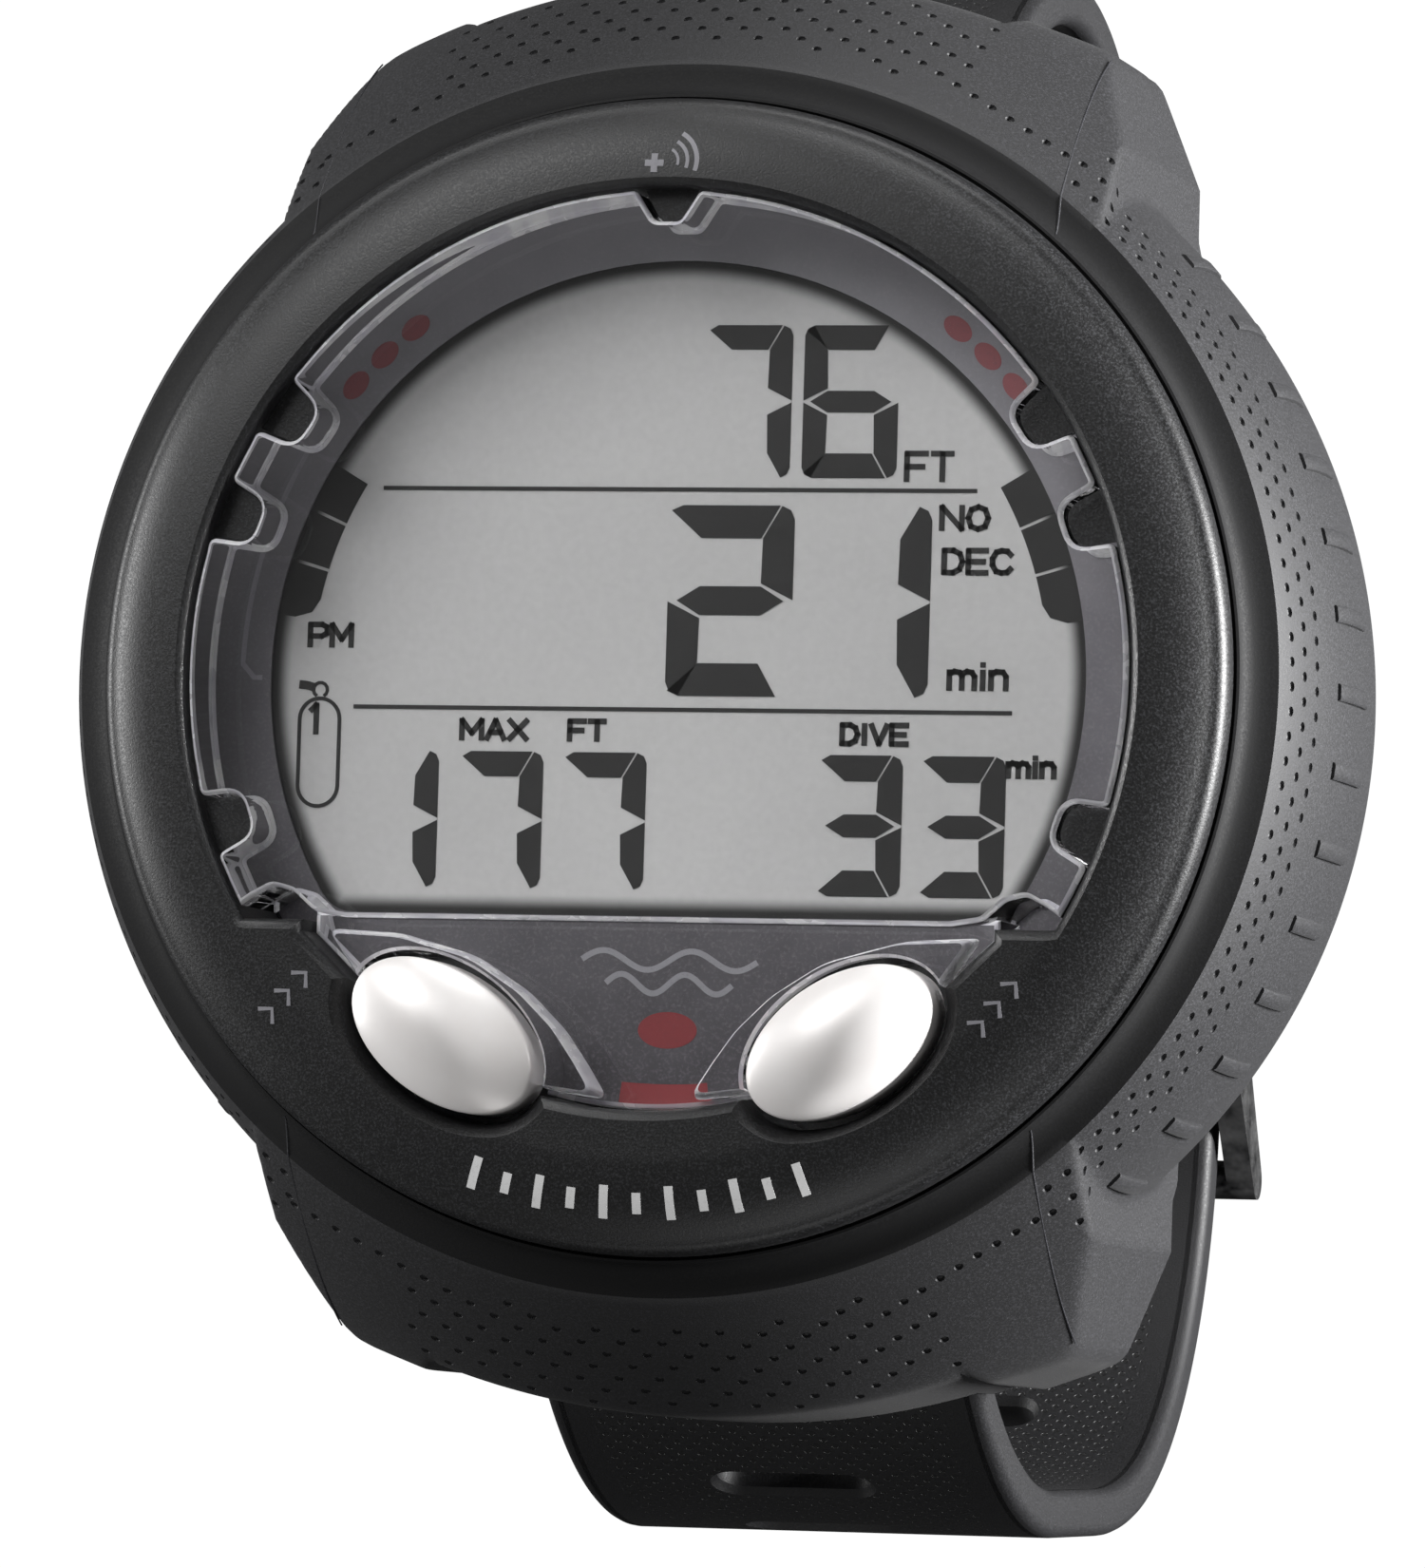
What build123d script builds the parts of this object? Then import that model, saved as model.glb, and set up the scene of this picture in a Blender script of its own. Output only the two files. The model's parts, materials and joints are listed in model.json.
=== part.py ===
from build123d import *
from math import cos, degrees, radians, sin, sqrt
import os

# A wrist dive computer. Millimetres. +Z is the way the display faces, +Y is 12 o'clock, +X is 3 o'clock.
# The origin is the centre of the flat case back, the face that looks at the wrist.

# ---- driving dimensions: case --------------------------------------------------------------------
GROOVE_Z = 30.0            # top of the rubber collar, where the bezel begins
BEZEL_R = 33.2             # outer edge of the bezel
BEZEL_INNER_R = 28.2       # top edge of the window opening
BEZEL_TOP_Z = 33.2         # height of the bezel at that edge
CASE_R = 32.0              # the case below the bezel
CASE_WALL = 2.4
PARTING_Z = 20.0           # where the front and rear shells meet
FLOOR_Z = 25.0             # floor of the window pocket
FLOOR_T = 2.4              # its thickness
SLIP = 0.1                 # gap between pieces that are laid into each other

# ---- window and display --------------------------------------------------------------------------
LENS_R = 27.7
LENS_TOP_Z = 32.8
LENS_STEP_Z = 30.6         # top of the lens's lower part
LENS_CUT_Y = -14.2         # straight lower edge of the raised window
LOWER_R = 24.8             # arc at the bottom of the lens's lower part
POCKET_GAP = 0.15
NOTCH_R = 1.3
NOTCH_ANGLES = (19.5, 33.5, -19.0)   # from 3 o'clock, mirrored to the left
NOTCH_TIP_R = 25.3
WINDOW_R = 24.2            # display window in the printed mask
WINDOW_CUT_Y = -13.6
WINDOW_CORNER = 2.2
MASK_T = 0.2
LCD_R = 25.0
LCD_CUT_Y = -14.4
LCD_TOP_Z = 24.9
LCD_T = 2.0

# ---- buttons -------------------------------------------------------------------------------------
BUTTON_X = 11.7
BUTTON_Y = -20.9
BUTTON_A = 6.0             # half the long axis
BUTTON_B = 3.65            # half the short axis
BUTTON_TURN = 33.0         # slope of the long axis
BUTTON_RIM_Z = 32.7
BUTTON_DOME = 1.5
BUTTON_UNDER_Z = 30.0
WELL_GAP = 0.45            # round each button
SHAFT_R = 1.25
SHAFT_GAP = 0.05
BOSS_R = 2.9
BOSS_Z = 20.9
SHAFT_END_Z = 18.9

# ---- boards --------------------------------------------------------------------------------------
BOARD_Z = 14.2
BOARD_T = 1.4
BOARD_R = 25.2
SWITCH_H = 1.8
SCREW_RING_R = 26.2        # circle of the screw bosses
SCREW_ANGLES = (0, 60, 120, 180, 218, 322)
SCREW_BOSS_R = 1.6
SCREW_R = 0.75
SCREW_HEAD_R = 1.35

# ---- battery and hatch ---------------------------------------------------------------------------
CELL_R = 12.25
CELL_T = 5.0
CELL_Z = 3.5
CUP_R = 13.0
CUP_WALL = 1.6
CUP_ROOF_Z = 10.2
RECESS_R = 18.0
RECESS_Z = 1.6
RING_INNER_R = 9.5
TAB_R = 19.2
TAB_COUNT = 3
TAB_ANGLE = 18.0
RING_TURN = 30.0

# ---- boot ----------------------------------------------------------------------------------------
COLLAR_R = 35.5            # crease between the collar and the side wall
COLLAR_Z = 28.4
WALL_R = 37.7              # widest part of the side wall
WALL_Z = 16.5
BOOT_FOOT_R = 34.6
BOOT_BOTTOM_Z = 0.9
LUG_HALF_X = 24.4
LUG_END_Y = 42.1
LUG_COVER_HALF_X = 16.2
STRAP_GAP = 0.35

# ---- strap ---------------------------------------------------------------------------------------
STRAP_W = 27.0
STRAP_T = 2.9
PIN_Y = 35.9
PIN_Z = 5.6
PIN_R = 0.95
PIN_HALF = 19.0
KNUCKLE_R = 2.7
FLAT_Z = -60.5             # middle of the tail's thickness on the flat run
SLOT_LENGTH = 9.5
SLOT_W = 2.8
SLOT_PITCH = 8.84
BAR_Y = -15.5
BAR_R = 1.0
BAR_KNUCKLE_R = 2.15
REST_Z = -64.4             # the plane that the closed strap lies on

os.makedirs("parts", exist_ok=True)


def keep(part, name):
    """Label a finished piece and write it."""
    part.label = name
    export_step(part, f"parts/{name}.step")


def polar(radius, angle):
    return (radius * cos(radians(angle)), radius * sin(radians(angle)))


SCREW_PLACES = [polar(SCREW_RING_R, angle) for angle in SCREW_ANGLES]


def disc_cut(radius, cut_y, corner):
    """Circle with its bottom cut straight at cut_y and the two corners rounded."""
    half = sqrt(radius ** 2 - cut_y ** 2)
    with BuildSketch(mode=Mode.PRIVATE) as outline:
        with BuildLine():
            Line((-half, cut_y), (half, cut_y))
            ThreePointArc((half, cut_y), (0, radius), (-half, cut_y))
        make_face()
        if corner:
            fillet(outline.vertices(), corner)
    return outline.sketch


# ---- housings ------------------------------------------------------------------------------------
def button_places():
    """Centre and long-axis slope of each button: left, then right."""
    return ((-BUTTON_X, -BUTTON_TURN), (BUTTON_X, BUTTON_TURN))


def lower_zone(grow):
    """The stepped lower part of the window: flat top, sloped shoulders, arc at the bottom."""
    r = LOWER_R + grow
    top, side, shoulder = LENS_CUT_Y + 0.5, 20.2 + grow, 16.9 + grow
    shoulder_y = -sqrt(r ** 2 - shoulder ** 2)
    with BuildSketch(mode=Mode.PRIVATE) as outline:
        with BuildLine():
            Polyline((-shoulder, shoulder_y), (-side, top - 1.3), (-side, top), (side, top),
                     (side, top - 1.3), (shoulder, shoulder_y))
            ThreePointArc((shoulder, shoulder_y), (0, -r), (-shoulder, shoulder_y))
        make_face()
    return outline.sketch


with BuildPart() as front_housing:
    with BuildSketch(Plane.XZ) as section:
        with BuildLine():
            Polyline((0, FLOOR_Z - FLOOR_T), (CASE_R - CASE_WALL, FLOOR_Z - FLOOR_T),
                     (CASE_R - CASE_WALL, PARTING_Z), (CASE_R, PARTING_Z), (CASE_R, GROOVE_Z - 0.5),
                     (BEZEL_R, GROOVE_Z - 0.5), (BEZEL_R, GROOVE_Z + 0.35))
            ThreePointArc((BEZEL_R, GROOVE_Z + 0.35), (BEZEL_R - 0.35, GROOVE_Z + 1.05),
                          (BEZEL_R - 1.1, GROOVE_Z + 1.45))
            ThreePointArc((BEZEL_R - 1.1, GROOVE_Z + 1.45), (BEZEL_R - 3.0, GROOVE_Z + 2.45),
                          (BEZEL_INNER_R, BEZEL_TOP_Z))
            Polyline((BEZEL_INNER_R, BEZEL_TOP_Z), (0, BEZEL_TOP_Z), (0, FLOOR_Z - FLOOR_T))
        make_face()
    revolve(axis=Axis.Z)
    with Locations(*[(x, y, FLOOR_Z - FLOOR_T) for x, y in SCREW_PLACES]):
        Cylinder(SCREW_BOSS_R, FLOOR_Z - FLOOR_T - PARTING_Z, align=(Align.CENTER, Align.CENTER, Align.MAX))
    with Locations(*[(x, BUTTON_Y, FLOOR_Z - FLOOR_T) for x, _ in button_places()]):
        Cylinder(BOSS_R, FLOOR_Z - FLOOR_T - BOSS_Z, align=(Align.CENTER, Align.CENTER, Align.MAX))
    # the pocket for the lens
    with BuildSketch(Plane.XY.offset(FLOOR_Z)):
        add(disc_cut(LENS_R + POCKET_GAP, LENS_CUT_Y - POCKET_GAP, 0))
        add(lower_zone(POCKET_GAP))
    extrude(amount=BEZEL_TOP_Z - FLOOR_Z + 1, mode=Mode.SUBTRACT)
    with BuildSketch(Plane.XY.offset(FLOOR_Z)):
        for x, slope in button_places():
            with Locations((x, BUTTON_Y)):
                Ellipse(BUTTON_A + WELL_GAP, BUTTON_B + WELL_GAP, rotation=slope)
    extrude(amount=BEZEL_TOP_Z - FLOOR_Z + 1, mode=Mode.SUBTRACT)
    # the display opening
    with BuildSketch(Plane.XY.offset(FLOOR_Z - FLOOR_T)):
        add(disc_cut(LCD_R + SLIP, LCD_CUT_Y - SLIP, 0))
    extrude(amount=FLOOR_T, mode=Mode.SUBTRACT)
    # shaft bores, each with a seal groove
    with Locations(*[(x, BUTTON_Y, BOSS_Z) for x, _ in button_places()]):
        Cylinder(SHAFT_R + SHAFT_GAP, 6, align=(Align.CENTER, Align.CENTER, Align.MIN), mode=Mode.SUBTRACT)
    with Locations(*[(x, BUTTON_Y, FLOOR_Z - 2.2) for x, _ in button_places()]):
        Cylinder(SHAFT_R + 1.0, 1.0, align=(Align.CENTER, Align.CENTER, Align.MIN), mode=Mode.SUBTRACT)
    # blind pilot holes for the screws
    with Locations(*[(x, y, PARTING_Z) for x, y in SCREW_PLACES]):
        Cylinder(SCREW_R + SHAFT_GAP, 3.4, align=(Align.CENTER, Align.CENTER, Align.MIN), mode=Mode.SUBTRACT)
keep(front_housing.part, "front_housing")

SPIGOT_R = CASE_R - CASE_WALL - SLIP
SPIGOT_TOP_Z = PARTING_Z + 2.4
SEAL_SECTION = 0.5
SENSOR_PLACE = (21.5, -8.5)
SENSOR_R = 2.6
CONTACT_X = (-23.6, -21.0)
CONTACT_Y = 7.0
DATA_PINS = tuple((-22.3 + 0.7 * i * i, -9.0 + 3.0 * i) for i in (-1, 0, 1))

with BuildPart() as rear_housing:
    Cylinder(CASE_R, PARTING_Z, align=(Align.CENTER, Align.CENTER, Align.MIN))
    with Locations((0, 0, PARTING_Z)):
        Cylinder(SPIGOT_R, SPIGOT_TOP_Z - PARTING_Z, align=(Align.CENTER, Align.CENTER, Align.MIN))
    chamfer(rear_housing.faces().sort_by(Axis.Z)[0].edges(), 0.8)
    with Locations((0, 0, CASE_WALL)):
        Cylinder(SPIGOT_R - 1.6, 30, align=(Align.CENTER, Align.CENTER, Align.MIN), mode=Mode.SUBTRACT)
    with Locations((0, 0, CASE_WALL)):
        Cylinder(CUP_R + CUP_WALL, CUP_ROOF_Z - CASE_WALL, align=(Align.CENTER, Align.CENTER, Align.MIN))
    with Locations(*[(x, y, CASE_WALL) for x, y in SCREW_PLACES]):
        Cylinder(SCREW_BOSS_R, PARTING_Z - SLIP - CASE_WALL, align=(Align.CENTER, Align.CENTER, Align.MIN))
    # seal groove round the spigot
    with BuildSketch(Plane.XZ):
        with Locations((SPIGOT_R, PARTING_Z + 1.1)):
            Rectangle(1.4, 1.1)
    revolve(axis=Axis.Z, mode=Mode.SUBTRACT)
    # battery cup, hatch recess and bayonet channel
    Cylinder(CUP_R, CUP_ROOF_Z - 1.2, align=(Align.CENTER, Align.CENTER, Align.MIN), mode=Mode.SUBTRACT)
    Cylinder(RECESS_R, RECESS_Z, align=(Align.CENTER, Align.CENTER, Align.MIN), mode=Mode.SUBTRACT)
    with BuildSketch(Plane.XY.offset(0.85)):
        Circle(TAB_R + 0.1)
    extrude(amount=RECESS_Z - 0.85, mode=Mode.SUBTRACT)
    with BuildSketch(Plane.XY):
        with PolarLocations(TAB_R - 0.9, TAB_COUNT, start_angle=RING_TURN):
            Rectangle(2.0, 2 * (TAB_R + 0.1) * sin(radians(TAB_ANGLE / 2)) + 0.6)
    extrude(amount=0.85, mode=Mode.SUBTRACT)
    # screw holes, counterbored from the back
    with Locations(*SCREW_PLACES):
        Cylinder(SCREW_R + 0.2, 2 * PARTING_Z, mode=Mode.SUBTRACT)
        Cylinder(SCREW_HEAD_R + SLIP, 2.6, mode=Mode.SUBTRACT)
    # holes for the sensor, the water contacts and the data pins
    with Locations((*SENSOR_PLACE, 0)):
        Cylinder(SENSOR_R + SLIP, 8, mode=Mode.SUBTRACT)
    with Locations(*[(x, CONTACT_Y, 0) for x in CONTACT_X]):
        Cylinder(0.8 + SHAFT_GAP, 8, mode=Mode.SUBTRACT)
    with Locations(*[(x, y, 0) for x, y in DATA_PINS]):
        Cylinder(0.6 + SHAFT_GAP, 8, mode=Mode.SUBTRACT)
    with BuildSketch(Plane.XY):
        with Locations((DATA_PINS[1][0] + 0.3, DATA_PINS[1][1])):
            SlotOverall(10.4, 4.4, rotation=90)
    extrude(amount=1.2, mode=Mode.SUBTRACT)
keep(rear_housing.part, "rear_housing")

with BuildPart() as housing_seal:
    with Locations((0, 0, PARTING_Z + 1.1)):
        Torus(SPIGOT_R - 0.16, SEAL_SECTION - 0.02)
    with BuildSketch(Plane.XZ):
        with Locations((SPIGOT_R + 1.0 + SLIP - 0.02, PARTING_Z + 1.1)):
            Rectangle(2.0, 3.0)
    revolve(axis=Axis.Z, mode=Mode.SUBTRACT)
keep(housing_seal.part, "housing_seal")

with BuildPart() as housing_screws:
    with Locations(*[(x, y, 0.1) for x, y in SCREW_PLACES]):
        Cylinder(SCREW_R, PARTING_Z + 2.4, align=(Align.CENTER, Align.CENTER, Align.MIN))
        Cylinder(SCREW_HEAD_R, 1.15, align=(Align.CENTER, Align.CENTER, Align.MIN))
    with BuildSketch(Plane.XY.offset(0.1)):
        with Locations(*SCREW_PLACES):
            Rectangle(1.7, 0.4)
            Rectangle(0.4, 1.7)
    extrude(amount=0.6, mode=Mode.SUBTRACT)
keep(housing_screws.part, "housing_screws")

# ---- lens, mask and display ----------------------------------------------------------------------
with BuildPart() as lens:
    with BuildSketch(Plane.XY.offset(FLOOR_Z + MASK_T + 0.1)):
        add(disc_cut(LENS_R, LENS_CUT_Y, 0))
    extrude(amount=LENS_TOP_Z - FLOOR_Z - MASK_T - 0.1)
    with BuildSketch(Plane.XY.offset(FLOOR_Z + MASK_T + 0.1)):
        add(lower_zone(0))
    extrude(amount=LENS_STEP_Z - FLOOR_Z - MASK_T - 0.1)
    # notches round the raised window
    with BuildSketch(Plane.XY.offset(LENS_STEP_Z - 1.0)):
        for angle in (*NOTCH_ANGLES, *[180 - a for a in NOTCH_ANGLES], 90):
            with Locations(Location((*polar(NOTCH_TIP_R + 2.0, angle), 0), (0, 0, angle))):
                SlotOverall(4.0, 2 * NOTCH_R)
    extrude(amount=5, mode=Mode.SUBTRACT)
    with BuildSketch(Plane.XY.offset(FLOOR_Z)):
        for x, slope in button_places():
            with Locations((x, BUTTON_Y)):
                Ellipse(BUTTON_A + WELL_GAP, BUTTON_B + WELL_GAP, rotation=slope)
    extrude(amount=10, mode=Mode.SUBTRACT)
keep(lens.part, "lens")

with BuildPart() as dial_mask:
    with BuildSketch(Plane.XY.offset(FLOOR_Z + 0.05)):
        add(disc_cut(LENS_R - 0.1, LENS_CUT_Y, 0))
        add(lower_zone(-0.1))
        add(disc_cut(WINDOW_R, WINDOW_CUT_Y, WINDOW_CORNER), mode=Mode.SUBTRACT)
        for x, slope in button_places():
            with Locations((x, BUTTON_Y)):
                Ellipse(BUTTON_A + WELL_GAP, BUTTON_B + WELL_GAP, rotation=slope, mode=Mode.SUBTRACT)
    extrude(amount=MASK_T)
keep(dial_mask.part, "dial_mask")

with BuildPart() as lcd_glass:
    with BuildSketch(Plane.XY.offset(LCD_TOP_Z - LCD_T)):
        add(disc_cut(LCD_R, LCD_CUT_Y, 0))
    extrude(amount=LCD_T)
keep(lcd_glass.part, "lcd_glass")

BACKLIGHT_T = 0.9
BACKLIGHT_Z = LCD_TOP_Z - LCD_T - BACKLIGHT_T - 0.05
STRIP_Y = (15.6, -12.4)
with BuildPart() as lcd_backlight:
    with BuildSketch(Plane.XY.offset(BACKLIGHT_Z)):
        add(disc_cut(LCD_R - 2.6, LCD_CUT_Y + 4.0, 0))
        with Locations((0, 20.2)):
            Rectangle(60, 12, mode=Mode.SUBTRACT)
    extrude(amount=BACKLIGHT_T)
keep(lcd_backlight.part, "lcd_backlight")

BOARD_TOP_Z = BOARD_Z + BOARD_T
with BuildPart() as lcd_holder:
    with BuildSketch(Plane.XY.offset(BOARD_TOP_Z + 0.05)):
        Circle(24.4)
        with Locations((0, -26)):
            Rectangle(60, 24.2, mode=Mode.SUBTRACT)
        Circle(22.6, mode=Mode.SUBTRACT)
    extrude(amount=LCD_TOP_Z - LCD_T - BOARD_TOP_Z - 0.1)
    with BuildSketch(Plane.XY.offset(BACKLIGHT_Z - 1.2)):
        Circle(23)
        with Locations((0, -26)):
            Rectangle(60, 31, mode=Mode.SUBTRACT)
        with Locations((0, 20.2)):
            Rectangle(60, 12, mode=Mode.SUBTRACT)
    extrude(amount=1.15)
keep(lcd_holder.part, "lcd_holder")

with BuildPart() as lcd_connectors:
    for y, half in ((STRIP_Y[0] + 0.6, 14.0), (STRIP_Y[1] - 0.6, 17.5)):
        with BuildSketch(Plane.XY.offset(BOARD_TOP_Z + 0.05)):
            with Locations((0, y)):
                Rectangle(2 * half, 1.8)
        extrude(amount=LCD_TOP_Z - LCD_T - BOARD_TOP_Z - 0.1)
keep(lcd_connectors.part, "lcd_connectors")

# ---- circuit board and what sits on it -----------------------------------------------------------
with BuildPart() as main_board:
    with BuildSketch(Plane.XY.offset(BOARD_Z)):
        Circle(BOARD_R)
        with Locations(*SCREW_PLACES):
            Circle(SCREW_BOSS_R + 0.4, mode=Mode.SUBTRACT)
    extrude(amount=BOARD_T)
keep(main_board.part, "main_board")

CHIPS = ((0, 4, 9, 9, 1.3), (-12, 8, 5, 4, 1.0), (12, 8, 6, 3, 1.1), (-11, -3, 4, 6, 1.6),
         (10, -5, 7, 5, 1.2), (0, -6, 3.2, 1.6, 0.9), (-4, 12, 2, 1.2, 0.8), (4, 12, 2, 1.2, 0.8))
with BuildPart() as board_parts:
    for x, y, length, width, height in CHIPS:
        with BuildSketch(Plane.XY.offset(BOARD_TOP_Z + 0.02)):
            with Locations((x, y)):
                Rectangle(length, width)
        extrude(amount=height)
keep(board_parts.part, "board_parts")

with BuildPart() as button_switches:
    for x, _ in button_places():
        with BuildSketch(Plane.XY.offset(BOARD_TOP_Z + 0.02)):
            with Locations((x, BUTTON_Y + 1.2)):
                Rectangle(5.0, 5.0)
        extrude(amount=1.3)
        with BuildSketch(Plane.XY.offset(BOARD_TOP_Z + 1.32)):
            with Locations((x, BUTTON_Y)):
                Circle(1.2)
        extrude(amount=SWITCH_H - 1.3)
keep(button_switches.part, "button_switches")

LED_Y = 25.9
with BuildPart() as alarm_led:
    with BuildSketch(Plane.XY.offset(FLOOR_Z - FLOOR_T - 1.6)):
        with Locations((0, LED_Y)):
            Rectangle(3.0, 1.6)
    extrude(amount=1.5)
keep(alarm_led.part, "alarm_led")

with BuildPart() as buzzer:
    with Locations((0, 20.0, CASE_WALL + 0.05)):
        Cylinder(5.0, 1.6, align=(Align.CENTER, Align.CENTER, Align.MIN))
        with Locations((0, 0, 1.6)):
            Cylinder(3.6, 0.5, align=(Align.CENTER, Align.CENTER, Align.MIN))
keep(buzzer.part, "buzzer")

# ---- battery, its contacts and the hatch ---------------------------------------------------------
with BuildPart() as battery:
    with Locations((0, 0, CELL_Z)):
        Cylinder(CELL_R, CELL_T - 0.6, align=(Align.CENTER, Align.CENTER, Align.MIN))
        with Locations((0, 0, CELL_T - 0.6)):
            Cylinder(CELL_R - 1.2, 0.3, align=(Align.CENTER, Align.CENTER, Align.MIN))
    fillet(battery.faces().sort_by(Axis.Z)[0].edges(), 0.5)
keep(battery.part, "battery")

CONTACT_T = 0.25
with BuildPart() as battery_contacts:
    # a leaf on the cup's roof bears on the cell's cap, and a tab beside the cell touches its can
    with BuildSketch(Plane.XZ):
        with BuildLine():
            FilletPolyline((-8, CUP_ROOF_Z - 1.35), (-4, CUP_ROOF_Z - 1.35),
                           (0, CELL_Z + CELL_T - 0.15), (4, CELL_Z + CELL_T - 0.15), radius=1.0)
            offset(amount=CONTACT_T / 4, side=Side.BOTH)
        make_face()
    extrude(amount=1.5, both=True)
    with BuildSketch(Plane.XZ):
        with Locations((CELL_R + 0.35, CELL_Z + 2.2)):
            Rectangle(CONTACT_T, 3.6)
    extrude(amount=1.8, both=True)
keep(battery_contacts.part, "battery_contacts")

with BuildPart() as hatch_cover:
    Cylinder(RING_INNER_R - SLIP, RECESS_Z + 0.1, align=(Align.CENTER, Align.CENTER, Align.MIN))
    with Locations((0, 0, RECESS_Z + 0.05)):
        Cylinder(CUP_R - SLIP, 1.8, align=(Align.CENTER, Align.CENTER, Align.MIN))
    with BuildSketch(Plane.XZ):
        with Locations((CUP_R, RECESS_Z + 0.95)):
            Rectangle(1.8, 0.95)
    revolve(axis=Axis.Z, mode=Mode.SUBTRACT)
keep(hatch_cover.part, "hatch_cover")

with BuildPart() as hatch_seal:
    with Locations((0, 0, RECESS_Z + 0.95)):
        Torus(CUP_R - 0.49, 0.38)
keep(hatch_seal.part, "hatch_seal")

with BuildPart() as hatch_ring:
    with BuildSketch(Plane.XY):
        Circle(RECESS_R - SLIP)
        Circle(RING_INNER_R, mode=Mode.SUBTRACT)
    extrude(amount=RECESS_Z - 0.1)
    with BuildSketch(Plane.XY.offset(0.95)):
        with PolarLocations(RECESS_R, TAB_COUNT):
            Rectangle(2 * (TAB_R - RECESS_R), 2 * TAB_R * sin(radians(TAB_ANGLE / 2)))
        Circle(TAB_R, mode=Mode.INTERSECT)
    extrude(amount=0.5)
    # finger grooves
    with BuildSketch(Plane.XY):
        with PolarLocations((RECESS_R + RING_INNER_R) / 2, 12, start_angle=15):
            SlotOverall(5.2, 1.8)
    extrude(amount=0.7, mode=Mode.SUBTRACT)
keep(hatch_ring.part, "hatch_ring")

# ---- sensor, contacts and data port --------------------------------------------------------------
with BuildPart() as pressure_sensor:
    with Locations((*SENSOR_PLACE, 1.5)):
        Cylinder(SENSOR_R - 0.3, 5.0, align=(Align.CENTER, Align.CENTER, Align.MIN))
        with Locations((0, 0, 1.5)):
            Cylinder(SENSOR_R + 1.0, 3.0, align=(Align.CENTER, Align.CENTER, Align.MIN))
keep(pressure_sensor.part, "pressure_sensor")

with BuildPart() as sensor_seal:
    with Locations((*SENSOR_PLACE, CASE_WALL + 0.26)):
        Torus(SENSOR_R + 0.55, 0.24)
keep(sensor_seal.part, "sensor_seal")

with BuildPart() as sensor_guard:
    with Locations((*SENSOR_PLACE, 0.15)):
        Cylinder(SENSOR_R, 0.9, align=(Align.CENTER, Align.CENTER, Align.MIN))
        with GridLocations(1.5, 1.5, 2, 2):
            Cylinder(0.35, 3, mode=Mode.SUBTRACT)
keep(sensor_guard.part, "sensor_guard")

with BuildPart() as water_contacts:
    with Locations(*[(x, CONTACT_Y, 0.15) for x in CONTACT_X]):
        Cylinder(0.8, 4.2, align=(Align.CENTER, Align.CENTER, Align.MIN))
keep(water_contacts.part, "water_contacts")

with BuildPart() as data_contacts:
    with Locations(*[(x, y, 1.3) for x, y in DATA_PINS]):
        Cylinder(0.6, 3.2, align=(Align.CENTER, Align.CENTER, Align.MIN))
keep(data_contacts.part, "data_contacts")

with BuildPart() as data_cap:
    with BuildSketch(Plane.XY.offset(0.1)):
        with Locations((DATA_PINS[1][0] + 0.3, DATA_PINS[1][1])):
            SlotOverall(10.2, 4.2, rotation=90)
    extrude(amount=1.0)
keep(data_cap.part, "data_cap")

# ---- buttons -------------------------------------------------------------------------------------
for side, (x, slope) in zip(("left", "right"), button_places()):
    centre = Plane((x, BUTTON_Y, 0), x_dir=(cos(radians(slope)), sin(radians(slope)), 0), z_dir=(0, 0, 1))
    with BuildPart() as button:
        with BuildSketch(centre.offset(BUTTON_UNDER_Z)):
            Ellipse(BUTTON_A, BUTTON_B)
        extrude(amount=BUTTON_RIM_Z - BUTTON_UNDER_Z)
        with BuildSketch(centre.offset(BUTTON_RIM_Z)):
            Ellipse(BUTTON_A, BUTTON_B)
        with BuildSketch(centre.offset(BUTTON_RIM_Z + 0.75 * BUTTON_DOME)):
            Ellipse(BUTTON_A * 0.72, BUTTON_B * 0.66)
        with BuildSketch(centre.offset(BUTTON_RIM_Z + BUTTON_DOME)):
            Ellipse(BUTTON_A * 0.3, BUTTON_B * 0.24)
        loft()
    keep(button.part, f"{side}_button")

    with BuildPart() as plunger:
        with Locations((x, BUTTON_Y, SHAFT_END_Z)):
            Cylinder(SHAFT_R, BUTTON_UNDER_Z - 0.05 - SHAFT_END_Z, align=(Align.CENTER, Align.CENTER, Align.MIN))
        with BuildSketch(Plane.XZ.offset(-BUTTON_Y)):
            with Locations((x + SHAFT_R, BOSS_Z - 0.5)):
                Rectangle(0.6, 0.5)
        revolve(axis=Axis((x, BUTTON_Y, 0), (0, 0, 1)), mode=Mode.SUBTRACT)
    keep(plunger.part, f"{side}_plunger")

    with BuildPart() as clip:
        with BuildSketch(Plane.XY.offset(BOSS_Z - 0.7)):
            with Locations((x, BUTTON_Y)):
                Circle(2.3)
                Circle(SHAFT_R - 0.28, mode=Mode.SUBTRACT)
            with Locations((x, BUTTON_Y - 2)):
                Rectangle(1.5, 4, mode=Mode.SUBTRACT)
        extrude(amount=0.4)
    keep(clip.part, f"{side}_clip")

    with BuildPart() as seal:
        with Locations((x, BUTTON_Y, FLOOR_Z - 1.7)):
            Torus(SHAFT_R + 0.04 + 0.44, 0.44)
    keep(seal.part, f"{side}_seal")

    with BuildPart() as spring:
        with BuildLine() as coil:
            Helix(pitch=1.15, height=4.4, radius=2.1, center=(x, BUTTON_Y, FLOOR_Z + 0.3))
        with BuildSketch(Plane(origin=coil.line @ 0, z_dir=coil.line % 0)):
            Circle(0.22)
        sweep(is_frenet=True)
    keep(spring.part, f"{side}_spring")

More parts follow.
